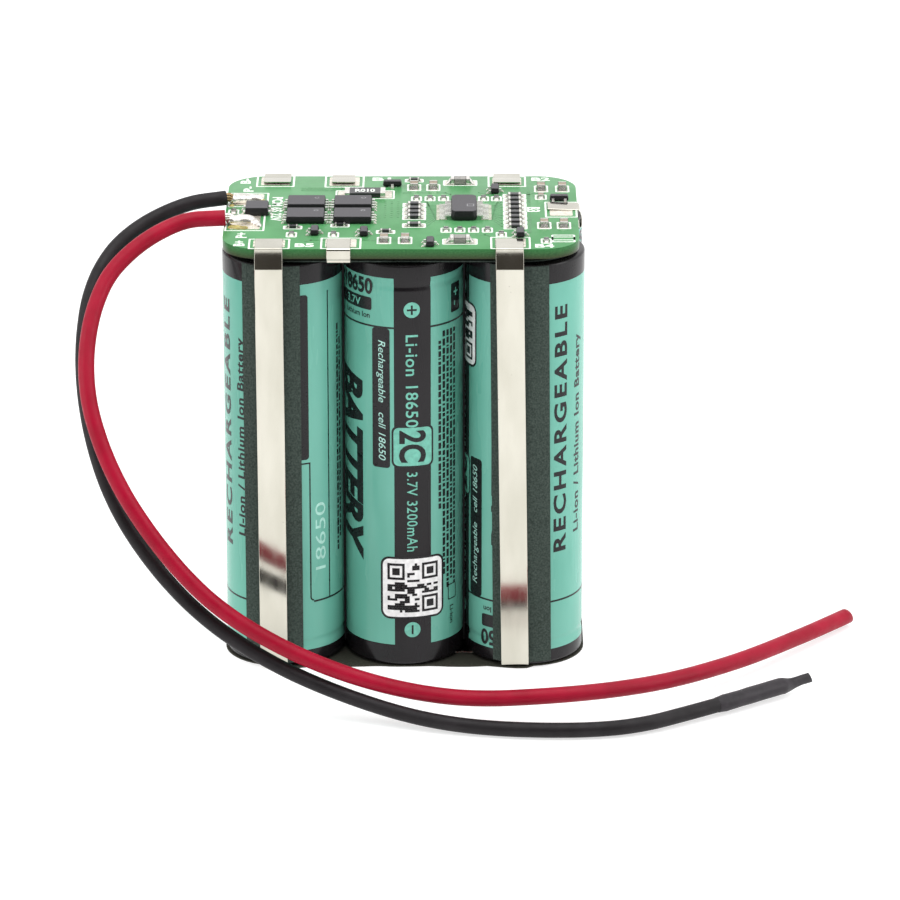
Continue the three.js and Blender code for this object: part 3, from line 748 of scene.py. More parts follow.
def build_riser(node, towards, edge, lean, belly, lift=0.0):
    """A strip from under a cell, up the outside, bowed out under the board's edge and folded over it.

    `lean` moves its lower end sideways and `belly` is how far it stands off the paper near its foot.
    """
    low, high = box(node)
    side = 1 if towards == TO_FRONT else -1
    start = -high.y if towards == TO_FRONT else low.y
    face = abs(FRONT_LEFT.y) + RADIUS + PAPER + SLACK * 3 + NICKEL / 2
    outside = max(edge + FOLD_CLEARANCE, face)
    foot = low.z + NICKEL / 2
    bow = (outside + RISER_BOW, BOARD_TOP - RISER_BOW_DROP)
    shin, knee, neck = (face + belly, 5), (face + 0.05, 36), (outside, OVER_BOARD - 0.3)
    lower = folded_path([(start, foot), (face + belly, foot), shin], 1.6)
    length = folded_path([shin, knee, bow], 15)
    upper = folded_path([length[-2], bow, neck], 0.2)
    top = folded_path([neck, (outside, OVER_BOARD), (edge - 1.5, OVER_BOARD),
                       (edge - TAB_REACH, OVER_BOARD + lift)], 0.2)
    shear = Matrix.Identity(4)
    shear[1][2] = -side * lean / BOARD_TOP
    shear[1][3] = side * lean
    place = moved(low.x + RISER_WIDTH / 2, 0, 0, towards) @ shear
    data = bmesh.new()
    add_strip(data, lower[:-1] + length[:-2] + upper[:-1] + top, RISER_WIDTH, place, 0.01)
    make_nickel(node, data)


def build_tab_link(node, cells, towards, start, edge, across, bulge=0.0, lift=0.0):
    """A strip over two cells' tops, with a tab that turns up past the board's edge and folds over it."""
    low = box(node)[0]
    level = low.z + FILM + NICKEL / 2
    x0, x1 = sorted(cell.x for cell in cells)
    y0, y1 = sorted(cell.y for cell in cells)
    half = LINK_WIDTH / 2
    data = bmesh.new()
    outline = rounded_rectangle(x0 - half, x1 + half, y0 - half, y1 + half, 0.6)
    add_prism(data, outline, level - NICKEL / 2, level + NICKEL / 2)
    add_dimples(data, cells, low.z, level)
    outside = edge + FOLD_CLEARANCE
    if bulge:
        way = [(outside + bulge, level), (outside + bulge, BOARD_BOTTOM + 0.4)]
    else:
        climb = box("top_sheet")[1].y + 0.25
        under = BOARD_BOTTOM - SLACK - NICKEL / 2
        way = [(climb, level), (climb, under), (outside, under)]
    path = folded_path([(start, level)] + way + [
        (outside, OVER_BOARD), (edge - 1.2, OVER_BOARD), (edge - TAB_REACH, OVER_BOARD + lift)], 0.4)
    place = moved(0, across) if towards == TO_RIGHT else moved(across, 0, 0, towards)
    add_strip(data, path, TAB_WIDTH, place, 0.02, 4)
    make_nickel(node, data)


def build_bottom_link(node, cells):
    """A strip under two cells, with its weld dimples pressed up against them."""
    low, high = box(node)
    data = bmesh.new()
    add_prism(data, rounded_rectangle(low.x, high.x, low.y, high.y, 0.6), low.z, low.z + NICKEL)
    add_dimples(data, cells, low.z + SLACK, high.z)
    make_nickel(node, data, bevel=0.06)


# ---------------------------------------------------------------- insulation
def build_paper(node, cell, lean=0.0):
    """Adhesive paper that follows the outside of one cell; `lean` moves its ends, each its own way."""
    low, high = box(node)
    outer = cell.radius + SLACK * 2 + PAPER
    left = math.asin((low.x - cell.x) / outer)
    right = math.asin((high.x - cell.x) / outer)
    sign = -1 if cell.y < 0 else 1
    sides, levels = 30, 26
    rings = []
    for level in range(levels + 1):
        z = low.z + (high.z - low.z) * level / levels
        ring = []
        for radius, steps in ((outer, range(sides + 1)), (outer - PAPER, range(sides, -1, -1))):
            for share in [i / sides for i in steps]:
                turn = left + (right - left) * share + lean / outer * (0.5 - level / levels)
                curl = 1 + noise.noise(Vector((cell.x, share * 9, z / 6)))
                reach = radius + 0.1 * max(0, abs(share - 0.5) - 0.4) * curl
                ring.append(Vector((cell.x + reach * math.sin(turn),
                                    cell.y + sign * reach * math.cos(turn), z)))
        rings.append(ring)
    data = bmesh.new()
    add_loft(data, rings)
    make_piece(node + "_wrap", data, [FISH_PAPER], "pack", [node], smooth=45)


def build_base_sheet():
    """The sheet under the pack, cut by hand, so that its long edges wander in and out."""
    low, high = box("base_sheet")
    corner = 9
    outline = [Vector(p) for p in rounded_rectangle(low.x, high.x, low.y, high.y, corner, 12)]
    wavy = []
    for point in dense(outline + outline[:1], 1.5)[:-1]:
        if abs(point.y) > high.y - 0.01:
            fade = min(1, (high.x - corner - abs(point.x)) / 4)
            wander = 0.1 * noise.noise(Vector((point.x / 3, point.y, 0)))
            wave = 0.3 * math.cos(2 * math.pi * point.x / PITCH) - 0.05 + wander
            under_riser = 0.9 * math.exp(-((abs(point.x) - FRONT_RIGHT.x) / 4) ** 2)
            point.y += math.copysign(wave * fade + under_riser, point.y)
        wavy.append(point)
    data = bmesh.new()
    add_prism(data, wavy, low.z, high.z)
    make_piece("base_sheet_cut", data, [SHADED_BASE_PAPER], "pack", ["base_sheet"], smooth=30)


def build_glue_strips():
    """Dark adhesive strips that hold neighbouring cells of a row together."""
    half, depth, margin = PITCH / 2 - RADIUS + FILM, 1.6, 1.2
    data = bmesh.new()
    for left in (FRONT_LEFT, FRONT_MIDDLE, REAR_LEFT, REAR_MIDDLE):
        x = left.x + PITCH / 2
        add_box(data, (x - half, left.y - depth, left.bottom + margin),
                (x + half, left.y + depth, left.top - margin))
    make_piece("glue_strips", data, [GLUE], "pack")


# ---------------------------------------------------------------- the board
SILK_THICK = 0.02
PAD_THICK = 0.05
RUN_THICK = 0.012
DOT_THICK = 0.01
MARK_THICK = 0.012
SUNK = 0.02  # how far flat artwork reaches into what it lies on
END_STEP = 0.02  # how far the bright ends of a chip stand out past its body
LEG_PITCH = 0.65  # between the control chip's legs
SILK_LINE = 0.28
PAD_MARGIN = 0.75

# Solder pads: (x from, x to, y from, y to) of each one's white frame, as they lie on the board.
NICKEL_PADS = [
    (-23.2, -17.2, 12.2, 17.9), (-12.5, -6.3, 11.9, 17.9), (13, 19, 12.2, 17.6),
    (-23.4, -17.1, -19.1, -14.2), (-12.5, -6.3, -19.1, -13.7), (13.2, 19.3, -19.1, -13.3),
    (21.7, 26.7, -3.5, 4.4),
]
LEAD_PADS = [(-27.3, -21.2, -10.3, -1.8), (-27.2, -21, 1.8, 9)]


def row(count, x, y, step=2.1):
    return [(x + i * step, y) for i in range(count)]


TINY_CHIPS = (
    row(3, 1.9, 6) + row(2, 12.3, 6, 2) + row(4, 6.5, -9.9)
    + [(14.9, -12.1), (21.7, -15.3), (-26.2, -0.8), (-17, -12.2), (-10.6, -12.2)]
)
COLUMNS = [(1.6, y) for y in (2.7, 0.4, -1.6, -3.7, -7.6)] + [(17.1, 7.3 - 2.24 * i) for i in range(8)]
CAPACITORS = [(1.5, 11.8), (4.5, 11.8), (21.3, 11.1), (24.6, 11.1), (21.5, -7.6), (24.5, -7.6),
              (-2.9, -15), (0.3, -15)]
# Chips of one kind: places, (length, width, height), turn, material of the body, spread of the pads.
CHIPS = [
    ([(-9.7, -7.6), (-16.9, -8.6), (-2.7, -10.8), (1.5, 15.4)], (1.6, 0.8, 0.45), 0, 0, 0.3),
    (TINY_CHIPS, (1.2, 0.75, 0.45), 90, 0, 0.25),
    (COLUMNS, (2, 1.2, 0.5), 0, 0, 0.45),
    (CAPACITORS, (2, 1.25, 0.9), 90, 1, 0.35),
    ([(21.2, 6.8)], (1.3, 0.9, 0.6), 90, 1, 0.3),
    ([(8.7, 14.2), (8.6, -15.6)], (3, 1.9, 0.9), 0, 2, 0.8),
]
TRANSISTOR_SIZE = (1.3, 2.9, 0.95)
# Small transistors: place, turn, reach of the legs.
TRANSISTORS = [(-13.5, -11.4, 0, 0.55), (-6, -11.9, 0, 0.55), (14.1, 9.8, 0, 0.55), (17.8, -12.4, 0, 0.55),
               (4.1, -17, 0, 0.55), (-1.9, 12.7, -90, 0.6), (24, 5.2, 90, 0.6)]


def on_board(x=0.0, y=0.0, turn=0.0):
    return moved(x, y, BOARD_TOP, turn)


class Artwork:
    """The board's flat layers, one bmesh each, in millimetres on the board."""

    def __init__(self):
        self.silk = bmesh.new()
        self.pads = bmesh.new()
        self.traces = bmesh.new()

    def add(self, layer, data, x=0.0, y=0.0, turn=0.0):
        merge(layer, data, on_board(x, y, turn) @ Matrix.Translation((0, 0, -SUNK)))

    def outline(self, length, width, x=0.0, y=0.0, turn=0.0):
        shape = frame_plate(-length / 2, length / 2, -width / 2, width / 2, 0.3, SILK_LINE,
                            SUNK + SILK_THICK)
        self.add(self.silk, shape, x, y, turn)

    def pad(self, length, width, x=0.0, y=0.0, turn=0.0):
        outline = rounded_rectangle(-length / 2, length / 2, -width / 2, width / 2, 0.12, 3)
        self.add(self.pads, plate(outline, SUNK + PAD_THICK), x, y, turn)

    def words(self, text, length, height, x, y, turn=0.0):
        shape = lettering(text, length, height, bold=0.03, thick=SUNK + SILK_THICK)
        bmesh.ops.translate(shape, vec=(-length / 2, -height / 2, 0), verts=shape.verts)
        self.add(self.silk, shape, x, y, turn)

    def trace(self, points, width=0.3):
        """A copper run under the lacquer, straight from point to point."""
        half = width / 2
        for (x0, y0), (x1, y1) in zip(points, points[1:]):
            length = math.hypot(x1 - x0, y1 - y0)
            turn = math.degrees(math.atan2(y1 - y0, x1 - x0))
            run = rounded_rectangle(-half, length + half, -half, half, width * 0.45, 3)
            self.add(self.traces, plate(run, SUNK + RUN_THICK), x0, y0, turn)


SOLDERED = 3  # the place of solder among the chips' materials


def add_chip(data, artwork, x, y, size, turn, body, spread):
    """A chip part on its pads: a ceramic body, bright ends and a fillet of solder against each end."""
    length, width, height = size
    half, deep, cap = length / 2, width / 2, length * 0.2
    place = on_board(x, y, turn)
    add_box(data, (cap - half, -deep, SLACK), (half - cap, deep, height), body, place)
    for side in (-1, 1):
        inner, outer, toe = [side * reach for reach in (half - cap, half, half + spread * 0.8)]
        x0, x1 = sorted((inner, outer))
        add_box(data, (x0, -deep - END_STEP, 0), (x1, deep + END_STEP, height + END_STEP), SOLDERED, place)
        fillet = [(outer, 0), (toe, 0), (toe, 0.05), ((outer + toe) / 2, height * 0.3),
                  (outer, height * 0.75)]
        add_prism(data, fillet, -deep + 0.05, deep - 0.05, SOLDERED, place @ UPRIGHT)
        spot = place @ Vector((side * (half - cap / 2 + spread / 2), 0, 0))
        artwork.pad(cap + spread + 0.2, width + 0.15, spot.x, spot.y, turn)
    artwork.outline(length + spread * 2 + 0.75, width + 0.95, x, y, turn)


def add_leg(data, place, reach, rise, width):
    """A formed lead: out of the moulding at `rise`, down, and out along the board."""
    half, shoulder = 0.09, reach * 0.45
    outline = [(-0.2, rise + half), (-0.2, rise - half), (shoulder - half, rise - half), (shoulder, 0),
               (reach, 0), (reach, half * 2), (shoulder + half * 1.5, half * 2),
               (shoulder + half, rise + half)]
    add_prism(data, outline, -width / 2, width / 2, 1, place @ UPRIGHT)


def chamfered(x, y, cut):
    """A rectangle from -x to x and -y to y with its corners cut off."""
    quarter = [(x, y - cut), (x - cut, y)]
    mirrored = [(-a, b) for a, b in quarter[::-1]]
    return quarter + mirrored + [(-a, -b) for a, b in quarter + mirrored]


def add_package(data, artwork, x, y, size, left, right, turn=0, reach=0.6, leg_width=0.4, cut=0.08):
    """A moulded package. `left` and `right` are the places of the legs along its two sides."""
    width, depth, height = size
    place = on_board(x, y, turn)
    taper, waist = 0.14, height * 0.4
    rings = []
    for z, inset in ((0.1, taper), (waist - 0.06, 0), (waist + 0.06, 0), (height - 0.05, taper),
                     (height, taper + 0.06)):
        outline = chamfered(width / 2 - inset, depth / 2 - inset, cut)
        rings.append([place @ Vector((px, py, z)) for px, py in outline])
    add_loft(data, rings)
    for side, legs in ((-1, left), (1, right)):
        for offset in legs:
            root = place @ moved(side * width / 2, offset, SLACK, 0 if side > 0 else 180)
            add_leg(data, root, reach, waist, leg_width)
            spot = place @ Vector((side * (width / 2 + reach * 0.8), offset, 0))
            artwork.pad(reach * 0.9, leg_width + 0.12, spot.x, spot.y, turn)


def spaced(count, pitch):
    return [(i - (count - 1) / 2) * pitch for i in range(count)]


def build_package(node, reach, legs, leg_width, artwork, cut=0.08, mark=None):
    """The package that stands for one CAD node. A mark is (shape, x, y) on its top."""
    low, high = box(node)
    x, y, _ = (low + high) / 2
    size = (high.x - low.x - 2 * reach, high.y - low.y, high.z - BOARD_TOP)
    data = bmesh.new()
    add_package(data, artwork, x, y, size, legs, legs, 0, reach, leg_width, cut)
    if mark:
        shape, dx, dy = mark
        merge(data, shape, moved(x + dx, y + dy, high.z - 0.005), 2)
    make_piece(node + "_package", data, [MOULDED, LEGS, MARKING], "pack", [node], smooth=25)


def build_packages(artwork):
    for index in range(1, 5):
        dot = frame_plate(-0.35, 0.35, -0.35, 0.35, 0.34, 0.08, MARK_THICK)
        build_package(f"mosfet_{index}", 0.6, spaced(4, 1.27), 0.42, artwork, mark=(dot, 1.6, 0.9))
    square = frame_plate(-0.55, 0.55, -0.55, 0.55, 0, 0.1, MARK_THICK)
    build_package("control_chip", 1.8, spaced(12, LEG_PITCH), 0.28, artwork, 0.5, (square, 1, -1.2))
    build_package("clamp_diode", 0.5, spaced(2, 2.4), 0.8, artwork)


def build_shunt(artwork):
    """A flat resistor with bright ends and a white value on its black coat."""
    low, high = box("shunt_resistor")
    x, y, _ = (low + high) / 2
    half, deep, top, end = (high.x - low.x) / 2, (high.y - low.y) / 2, high.z - BOARD_TOP, 0.75
    place = on_board(x, y)
    data = bmesh.new()
    add_box(data, (end - half, -deep, SLACK), (half - end, deep, top), 0, place)
    for side in (-1, 1):
        x0, x1 = sorted((side * half, side * (half - end)))
        add_box(data, (x0, -deep - END_STEP, SLACK), (x1, deep + END_STEP, top + END_STEP), 1, place)
        artwork.pad(1.9, 3.5, x + side * (half + 0.1), y)
    value = lettering("R010", 3.1, 1.5, bold=0.03, thick=MARK_THICK)
    merge(data, value, moved(x - 1.55, y - 0.75, high.z - 0.002), 2)
    artwork.outline(9.2, 4.4, x, y)
    make_piece("shunt_resistor_part", data, [CERAMIC_BLACK, TIN, SILK], "pack",
               ["shunt_resistor"], smooth=25)


def build_chips(artwork):
    """The small chip parts in one piece and the small transistors in another."""
    data = bmesh.new()
    for places, size, turn, body, spread in CHIPS:
        for x, y in places:
            add_chip(data, artwork, x, y, size, turn, body, spread)
    make_piece("chip_parts", data, [CERAMIC_BLACK, CERAMIC_TAN, CERAMIC_GREY, TIN], "pack",
               bevel=0.04, smooth=35)
    data = bmesh.new()
    for x, y, turn, reach in TRANSISTORS:
        add_package(data, artwork, x, y, TRANSISTOR_SIZE, (-0.95, 0.95), (0,), turn, reach)
    make_piece("small_transistors", data, [MOULDED, LEGS], "pack", smooth=25)


def draw_board_words(artwork):
    """Generic terminal names and the board's kind."""
    for text, length, height, x, y, turn in (
            ("B-", 2.6, 1.6, -24.9, 15.2, 90), ("P-", 2.6, 1.6, -24.3, 11, 90),
            ("P+", 2.6, 1.7, -24.6, -12.4, 90), ("B+", 2.6, 1.7, -24.8, -16.4, 90),
            ("B1", 2.9, 1.7, -3.6, 16.2, 0), ("B2", 2.9, 1.7, 21.3, 16.2, 0),
            ("B5", 2.9, 1.7, -14.9, -17.3, 0), ("B4", 2.9, 1.7, 21.4, -17.6, 0),
            ("B3", 2.4, 2.2, 19.9, 0.5, -90), ("PCM 6S 22V", 12, 1.7, -19.6, 0.8, -90)):
        artwork.words(text, length, height, x, y, turn)
    artwork.outline(3.6, 3.6, 24.3, -14)
    artwork.outline(3.6, 1.7, 24.3, -14)


def draw_copper(artwork):
    """Pads under the nickel and the leads, runs from the control chip, and via dots."""
    for x0, x1, y0, y1 in NICKEL_PADS + LEAD_PADS:
        artwork.add(artwork.silk, frame_plate(x0, x1, y0, y1, 0.2, SILK_LINE, SUNK + SILK_THICK))
        x0, y0 = x0 + PAD_MARGIN, y0 + PAD_MARGIN
        x1, y1 = x1 - PAD_MARGIN, y1 - PAD_MARGIN
        artwork.add(artwork.pads, plate(rounded_rectangle(x0, x1, y0, y1, 0.3), SUNK + PAD_THICK))
    low, high = box("control_chip")
    middle = (low.y + high.y) / 2
    for i, offset in enumerate(spaced(12, LEG_PITCH)):
        y, far = middle + offset, middle + offset * 2.1
        artwork.trace([(low.x, y), (low.x - 0.5 - 0.1 * i, y), (3.3, far), (2.9, far)], 0.2)
        far += 0.6
        artwork.trace([(high.x, y), (high.x + 0.5 + 0.05 * i, y), (15, far), (15.6, far)], 0.2)
    for x in (-2.9, -1.9, -0.9):
        for i in range(9):
            artwork.add(artwork.traces, plate(circle(x, 4.5 - i, 0.2, 12), SUNK + DOT_THICK))
    for y in (10.2, 10.9, 11.6):
        artwork.trace([(-16, y), (-12 + y * 0.2, y), (-5, y - 3.4)], 0.25)
    artwork.trace([(-14.8, -15.6), (-14, -14.8), (-3.6, -14.8)], 0.35)
    artwork.trace([(5.2, -12.2), (12.4, -12.2), (13.2, -13)])
    artwork.trace([(11.6, 9.2), (12.6, 8.2), (19.4, 8.2), (20.2, 9)])
    artwork.trace([(19.3, -10.9), (19.3, 9.6)], 0.5)
    artwork.trace([(-0.2, 9.1), (6.4, 9.1), (7.2, 8.3), (7.2, 4.4)])


def build_board():
    """The bare board, its artwork and everything soldered to it except the leads."""
    panel = bmesh.new()
    outline = rounded_rectangle(BOARD_LEFT, BOARD_RIGHT, BOARD_FRONT, BOARD_REAR, 6, 14)
    add_prism(panel, outline, BOARD_BOTTOM, BOARD_TOP)
    make_piece("board_panel", panel, [MASK], "pack", ["circuit_board"], bevel=0.06)
    artwork = Artwork()
    draw_copper(artwork)
    build_packages(artwork)
    build_shunt(artwork)
    build_chips(artwork)
    draw_board_words(artwork)
    for name, layer, material, slot in (("board_silkscreen", artwork.silk, SILK, "board_laminate"),
                                        ("board_pads", artwork.pads, PAD, "solder"),
                                        ("board_traces", artwork.traces, TRACE, "board_laminate")):
        make_piece(name, layer, [material], "pack", smooth=20)


# ---------------------------------------------------------------- solder and leads
class Line:
    """A smooth line through points, measured by length from its start."""

    def __init__(self, points):
        self.points = points
        self.lengths = [0]
        for first, second in zip(points, points[1:]):
            self.lengths.append(self.lengths[-1] + (second - first).length)
        self.length = self.lengths[-1]

    def at(self, distance):
        """The point there and the ways forward, sideways and up; past an end the line runs straight on."""
        i = min(max(bisect.bisect(self.lengths, distance), 1), len(self.points) - 1)
        first, second = self.points[i - 1], self.points[i]
        forward = (second - first).normalized()
        sideways = Vector((0, 0, 1)).cross(forward).normalized()
        return first + forward * (distance - self.lengths[i - 1]), forward, sideways, forward.cross(sideways)


def smoothed(points):
    """Catmull-Rom points through the given ones."""
    steps = 5
    ends = [points[0] * 2 - points[1]] + points + [points[-1] * 2 - points[-2]]
    out = []
    for a, b, c, d in zip(ends, ends[1:], ends[2:], ends[3:]):
        for t in [k / steps for k in range(steps)]:
            out.append((b * 2 + (c - a) * t + (a * 2 - b * 5 + c * 4 - d) * t * t
                        + (b * 3 - a - c * 3 + d) * t ** 3) / 2)
    return out + [points[-1]]


def centre_line(node):
    """The middle of a lead, from the rings of its conductor, starting at the board."""
    rings = []
    for vert in frame["nodes"][node].data.vertices:
        point = vert.co / MM
        ring = next((r for r in rings if (r[0] - point).length < BORE_RADIUS * 2.1), None)
        if ring:
            ring.append(point)
        else:
            rings.append([point])
    left = [sum(ring, Vector()) / len(ring) for ring in rings]
    ordered = []
    here = min(left, key=lambda p: (p - Vector((BOARD_LEFT, p.y, BOARD_TOP))).length)
    while left:
        here = min(left, key=lambda p: (p - here).length)
        ordered.append(here)
        left.remove(here)
    return Line(smoothed(ordered))


def add_tube(data, line, sections, sides=32):
    """Sweeps an ellipse along a line. A section is (distance, half width, half height)."""
    rings = []
    for distance, half_width, half_height in sections:
        centre, _, sideways, up = line.at(distance)
        rings.append([centre + sideways * half_width * x + up * half_height * y
                      for x, y in circle(0, 0, 1, sides)])
    add_loft(data, rings)


def round_sections(start, end, radius, spacing=1.0):
    count = max(2, round((end - start) / spacing))
    return [(start + (end - start) * i / count, radius, radius) for i in range(count + 1)]


def cut_askew(data, line, distance, reach, slope):
    """Slopes the end of a tube at `distance` along its line, so that its lower side is the longer one."""
    centre, forward, _, _ = line.at(distance)
    for vert in data.verts:
        from_end = vert.co - centre
        if from_end.length < reach:
            vert.co -= forward * slope * from_end.z


def build_lead(colour, material, radius, slope=0.0):
    """Insulation with a hollow at each end. `slope` is how far its free end is cut askew."""
    line = centre_line(colour + "_conductor")
    start, end = -0.7, line.length
    bore, hollow, rim = BORE_RADIUS + SLACK, 0.7, 0.09
    sections = [(start + hollow, bore, bore), (start, bore, bore), (start, radius - rim, radius - rim)]
    sections += round_sections(start + rim, end - rim, radius)
    sections += [(end, radius - rim, radius - rim), (end, bore, bore), (end - hollow, bore, bore)]
    data = bmesh.new()
    add_tube(data, line, sections)
    cut_askew(data, line, end, radius * 1.3, slope)
    nodes = [colour + "_insulation", colour + "_conductor"]
    piece = make_piece(colour + "_lead", data, [material], None, nodes, smooth=50)
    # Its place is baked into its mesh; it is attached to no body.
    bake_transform(piece)
    return line


def build_bare_strands(name, line, joint, spread, metal):
    """The bare strands between the insulation's end and the solder joint."""
    data = bmesh.new()
    start = line.at(-0.2)[0]
    count = 9
    for i in range(count):
        angle = 2 * math.pi * i / count
        offset = Vector((0, math.cos(angle), math.sin(angle))) * (0.4 if i else 0)
        middle = start.lerp(joint, 0.5) + offset * spread + Vector((0, 0, 0.25))
        strand = Line(smoothed([start + offset, middle, joint + offset * 0.8]))
        add_tube(data, strand, round_sections(0, strand.length, 0.17, 0.4), 8)
    make_piece(name, data, [metal], "pack", smooth=60)


def build_tip_strands(line):
    """Cut strands in the red lead's free end, one in the middle and the rest round it."""
    data = bmesh.new()
    radius, count = 0.19, 6
    for x, y in [(0, 0)] + circle(0, 0, radius * 2.05, count):
        points = []
        for short in (0.8, 0.35):
            centre, _, sideways, up = line.at(line.length - short)
            points.append(centre + sideways * x + up * y)
        strand = Line(points)
        add_tube(data, strand, [(0, radius, radius), (strand.length, radius, radius)], 10)
    make_piece("red_tip_strands", data, [STRANDS], "leads", smooth=60)


def blob(balls):
    """A smooth lump through balls of (x, y, height over the board, radius)."""
    meta = bpy.data.metaballs.new("lump")
    meta.resolution = 0.16
    meta.threshold = 0.6
    spread = 1 / 0.575  # a lone ball's field reaches this much further than its skin
    for x, y, z, radius in balls:
        element = meta.elements.new()
        element.co = (x, y, z)
        element.radius = radius * spread
    data = to_bmesh(meta)
    for vert in data.verts:
        vert.co.z += 0.06 * noise.noise(vert.co * 0.9)
        vert.co.z = max(vert.co.z, -SUNK)
    return data


def build_solder():
    """The two lead joints: a lump of bright solder each, with some flux beside it."""
    red = [(-26.55, -7.1, 0.75, 0.6), (-26, -6.8, 0.5, 0.8), (-25, -6.3, 0.4, 0.9), (-24, -6, 0.35, 0.9),
           (-23.2, -6.3, 0.2, 0.8), (-22.5, -7, 0.1, 0.65), (-22.1, -7.9, 0, 0.5)]
    black = [(-26.55, 3.2, 0.8, 0.65), (-25.9, 3.9, 0.7, 0.85), (-25, 4.4, 0.5, 0.9), (-24.1, 4.8, 0.4, 0.8),
             (-23.1, 5, 0.3, 0.75), (-22.3, 5, 0.2, 0.6)]
    flux_red = [(-26.2, -8.6, -0.3, 0.7), (-25.2, -8.9, -0.3, 0.75), (-24.2, -9, -0.3, 0.65)]
    flux_black = [(-21.9, 4.6, -0.25, 0.65), (-22.3, 3.8, -0.25, 0.6), (-26.6, 2.3, -0.2, 0.5)]
    for name, balls, flux in (("solder_red", red, flux_red), ("solder_black", black, flux_black)):
        data = bmesh.new()
        merge(data, blob(balls), on_board(), 0)
        merge(data, blob(flux), on_board(), 1)
        make_piece(name + "_joint", data, [TIN, FLUX], "pack", [name], smooth=80)


def build_end_sleeve(line):
    """Heat-shrink tube over the black lead's end: a soft start, a neck and a flat pinched tail."""
    body = BLACK_RADIUS + 0.15
    start, last, tail, count = -12.2, 0.1, 5.9, 24
    profile = [(start + past, body + more, body + more)
               for past, more in ((0, -0.13), (0.1, -0.1), (0.8, -0.05), (1.5, 0.04))]
    first = start + 2.1
    for i in range(count + 1):
        past = first + (last - first) * i / count
        ripple = 0.05 * noise.noise(Vector((past * 0.45, 2, 5)))
        profile.append((past, body + ripple, body + ripple))
    # Past the lead's end: (distance, half width, half height).
    profile += [(0.5, 1.26, 1.3), (0.9, 1.12, 1.24), (1.3, 0.95, 1.16), (1.8, 0.78, 1.07), (2.4, 0.62, 0.98),
                (3.2, 0.5, 0.9), (4.2, 0.43, 0.86), (5.2, 0.4, 0.86), (tail, 0.38, 0.87)]
    data = bmesh.new()
    add_tube(data, line, [(line.length + past, wide, high) for past, wide, high in profile])
    sag, centre = 0.22, 2
    neck, forward, _, _ = line.at(line.length + centre)
    for vert in data.verts:
        vert.co.z -= sag * max(0, 1 - abs((vert.co - neck).dot(forward)) / centre)
    cut_askew(data, line, line.length + tail, 0.9, 0.45)
    make_piece("black_end_shrink", data, [SHRINK], "leads", ["black_end_sleeve"], smooth=50)


def build_leads():
    red = build_lead("red", RED, RED_RADIUS, 0.3)
    black = build_lead("black", BLACK, BLACK_RADIUS)
    build_bare_strands("red_strands", red, Vector((-25.8, -6.6, BOARD_TOP + 0.75)), 1.2, TIN)
    build_bare_strands("black_strands", black, Vector((-26.1, 3.4, BOARD_TOP + 0.75)), 1.4, STRANDS)
    build_tip_strands(red)
    build_end_sleeve(black)


# ---------------------------------------------------------------- stage
def build_floor():
    data = bmesh.new()
    bmesh.ops.create_grid(data, x_segments=1, y_segments=1, size=4)
    mesh = bpy.data.meshes.new("floor")
    data.to_mesh(mesh)
    data.free()
    floor = bpy.data.objects.new("floor", mesh)
    bpy.context.scene.collection.objects.link(floor)
    made = Surface("floor", roughness=0.7, specular=0.1)
    made.tones(60, [0.49, 0.49, 0.49, 1], [0.51, 0.51, 0.51, 1])
    made.shader["Emission Color"].default_value = (1, 1, 1, 1)
    made.shader["Emission Strength"].default_value = 0.62
    mesh.materials.append(made.material)


def build_world():
    """White all round, with the unlit room behind the camera."""
    world = bpy.data.worlds.new("studio")
    bpy.context.scene.world = world
    world.use_nodes = True
    tree = world.node_tree
    ways = wire(tree, "SeparateXYZ", {0: wire(tree, "TexCoord", {})["Generated"]})

    def below(way, low, high):
        """1 up to `low`, fading to 0 at `high`."""
        inputs = {"Value": ways[way], "From Min": low, "From Max": high, "To Min": 1, "To Max": 0}
        return wire(tree, "MapRange", inputs, interpolation_type="SMOOTHSTEP")["Result"]

    behind = {0: below("Y", -0.8, -0.55), 1: below("Z", 0.62, 0.75)}
    dark = wire(tree, "Math", behind, operation="MULTIPLY")[0]
    inputs = {"Factor": dark, "A": (1, 1, 1, 1), "B": (0.06, 0.055, 0.05, 1)}
    shade = tree.nodes["Background"].inputs
    tree.links.new(wire(tree, "Mix", inputs, data_type="RGBA")["Result"], shade["Color"])
    shade["Strength"].default_value = 1.15


def build_softbox(name, place, size, power):
    light = bpy.data.lights.new(name, "AREA")
    light.shape = "RECTANGLE"
    light.size, light.size_y = size
    light.energy = power
    lamp = bpy.data.objects.new(name, light)
    lamp.location = place
    aim = Vector((0, 0, 0.03)) - Vector(place)
    lamp.rotation_euler = aim.to_track_quat("-Z", "Y").to_euler()
    bpy.context.scene.collection.objects.link(lamp)


def build_stage():
    build_floor()
    build_world()
    build_softbox("top_light", (0.1, -0.1, 1.1), (1.0, 1.0), 6.5)
    build_softbox("left_light", (-0.9, -0.35, 0.5), (0.5, 0.8), 3)
    build_softbox("right_light", (0.9, -0.3, 0.5), (0.5, 0.8), 3)
    bpy.context.scene.view_settings.view_transform = "Standard"
    bpy.context.scene.view_settings.exposure = 0


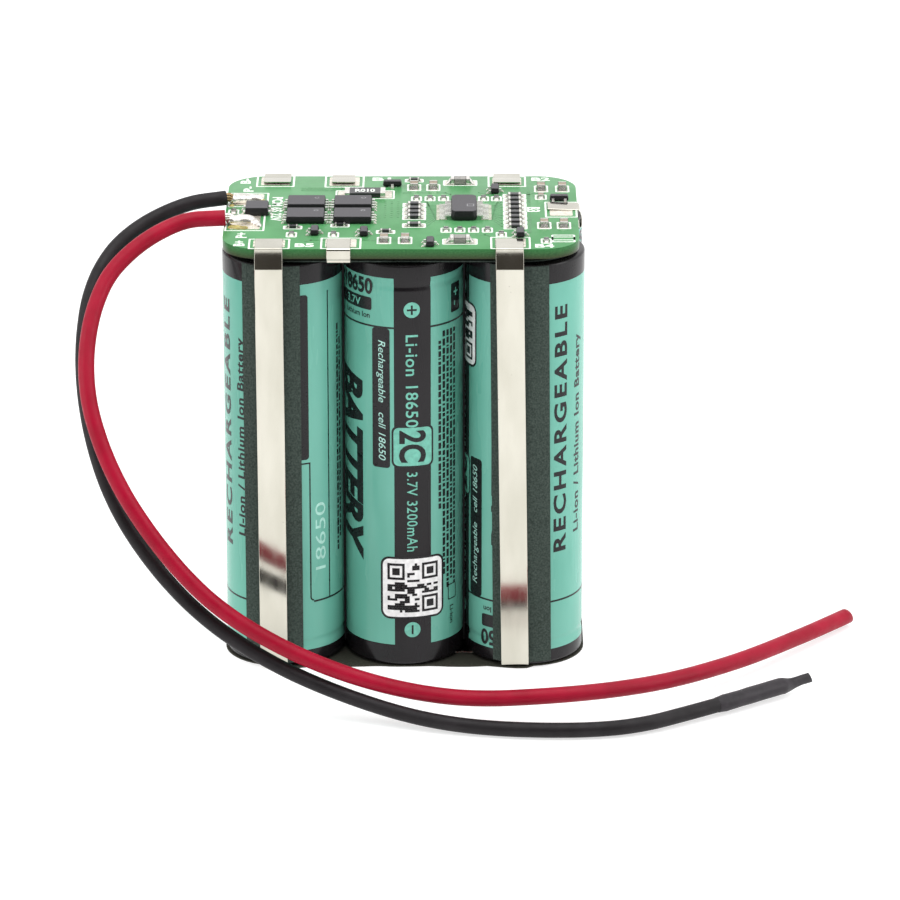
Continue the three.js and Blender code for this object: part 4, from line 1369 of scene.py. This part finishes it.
def build_camera():
    """A long lens in front of the pack, looking down on it by 20 degrees."""
    camera = bpy.data.cameras.new("camera")
    camera.sensor_width = 36
    camera.lens = 215
    holder = bpy.data.objects.new("camera", camera)
    tilt = math.radians(20.16)
    target = Vector((7.1, 0, 29.25))
    distance = 841.7
    back = Vector((0, -math.cos(tilt), math.sin(tilt)))
    holder.location = (target + back * distance) * MM
    holder.rotation_euler = (math.pi / 2 - tilt, 0, 0)
    bpy.context.scene.collection.objects.link(holder)
    bpy.context.scene.camera = holder


# ---------------------------------------------------------------- assembly
def finish_hidden_nodes():
    """Gives each CAD node a material. Those inside the cells and under the board are the ones that stay."""
    by_ending = {"_can": CAN, "_winding": ROLL, "_gasket": GASKET, "_cap": CAN}
    for name, node in frame["nodes"].items():
        material = next((m for ending, m in by_ending.items() if name.endswith(ending)), FISH_PAPER)
        node.data.materials.clear()
        node.data.materials.append(material)


def build_nickel():
    build_riser("riser_b_plus", TO_FRONT, -BOARD_FRONT, 0.15, 0.7)
    build_riser("riser_b4", TO_FRONT, -BOARD_FRONT, 1.1, 0.3)
    build_riser("riser_b_minus", TO_REAR, BOARD_REAR, 0, 0.3, lift=0.3)
    build_riser("riser_b2", TO_REAR, BOARD_REAR, 0, 0.2, lift=0.25)
    row_y = REAR_LEFT.y
    build_tab_link("link_b1", (REAR_LEFT, REAR_MIDDLE), TO_REAR, row_y, BOARD_REAR, -9.55, lift=0.3)
    build_tab_link("link_b5", (FRONT_MIDDLE, FRONT_LEFT), TO_FRONT, row_y, -BOARD_FRONT, -9.75)
    build_tab_link("link_b3", (REAR_RIGHT, FRONT_RIGHT), TO_RIGHT, REAR_RIGHT.x, BOARD_RIGHT, 1.8,
                   bulge=0.4, lift=0.12)
    build_bottom_link("link_b2", (REAR_MIDDLE, REAR_RIGHT))
    build_bottom_link("link_b4", (FRONT_RIGHT, FRONT_MIDDLE))


finish_hidden_nodes()
label_art = draw_label()
for each in CELLS:
    build_sleeve(each)
    print_label(label_art, each)
build_nickel()
build_paper("paper_front_left", FRONT_LEFT)
build_paper("paper_front_right", FRONT_RIGHT, 0.75)
build_paper("paper_rear_left", REAR_LEFT)
build_paper("paper_rear_right", REAR_RIGHT)
build_base_sheet()
build_glue_strips()
build_board()
build_leads()
build_solder()
build_stage()
build_camera()
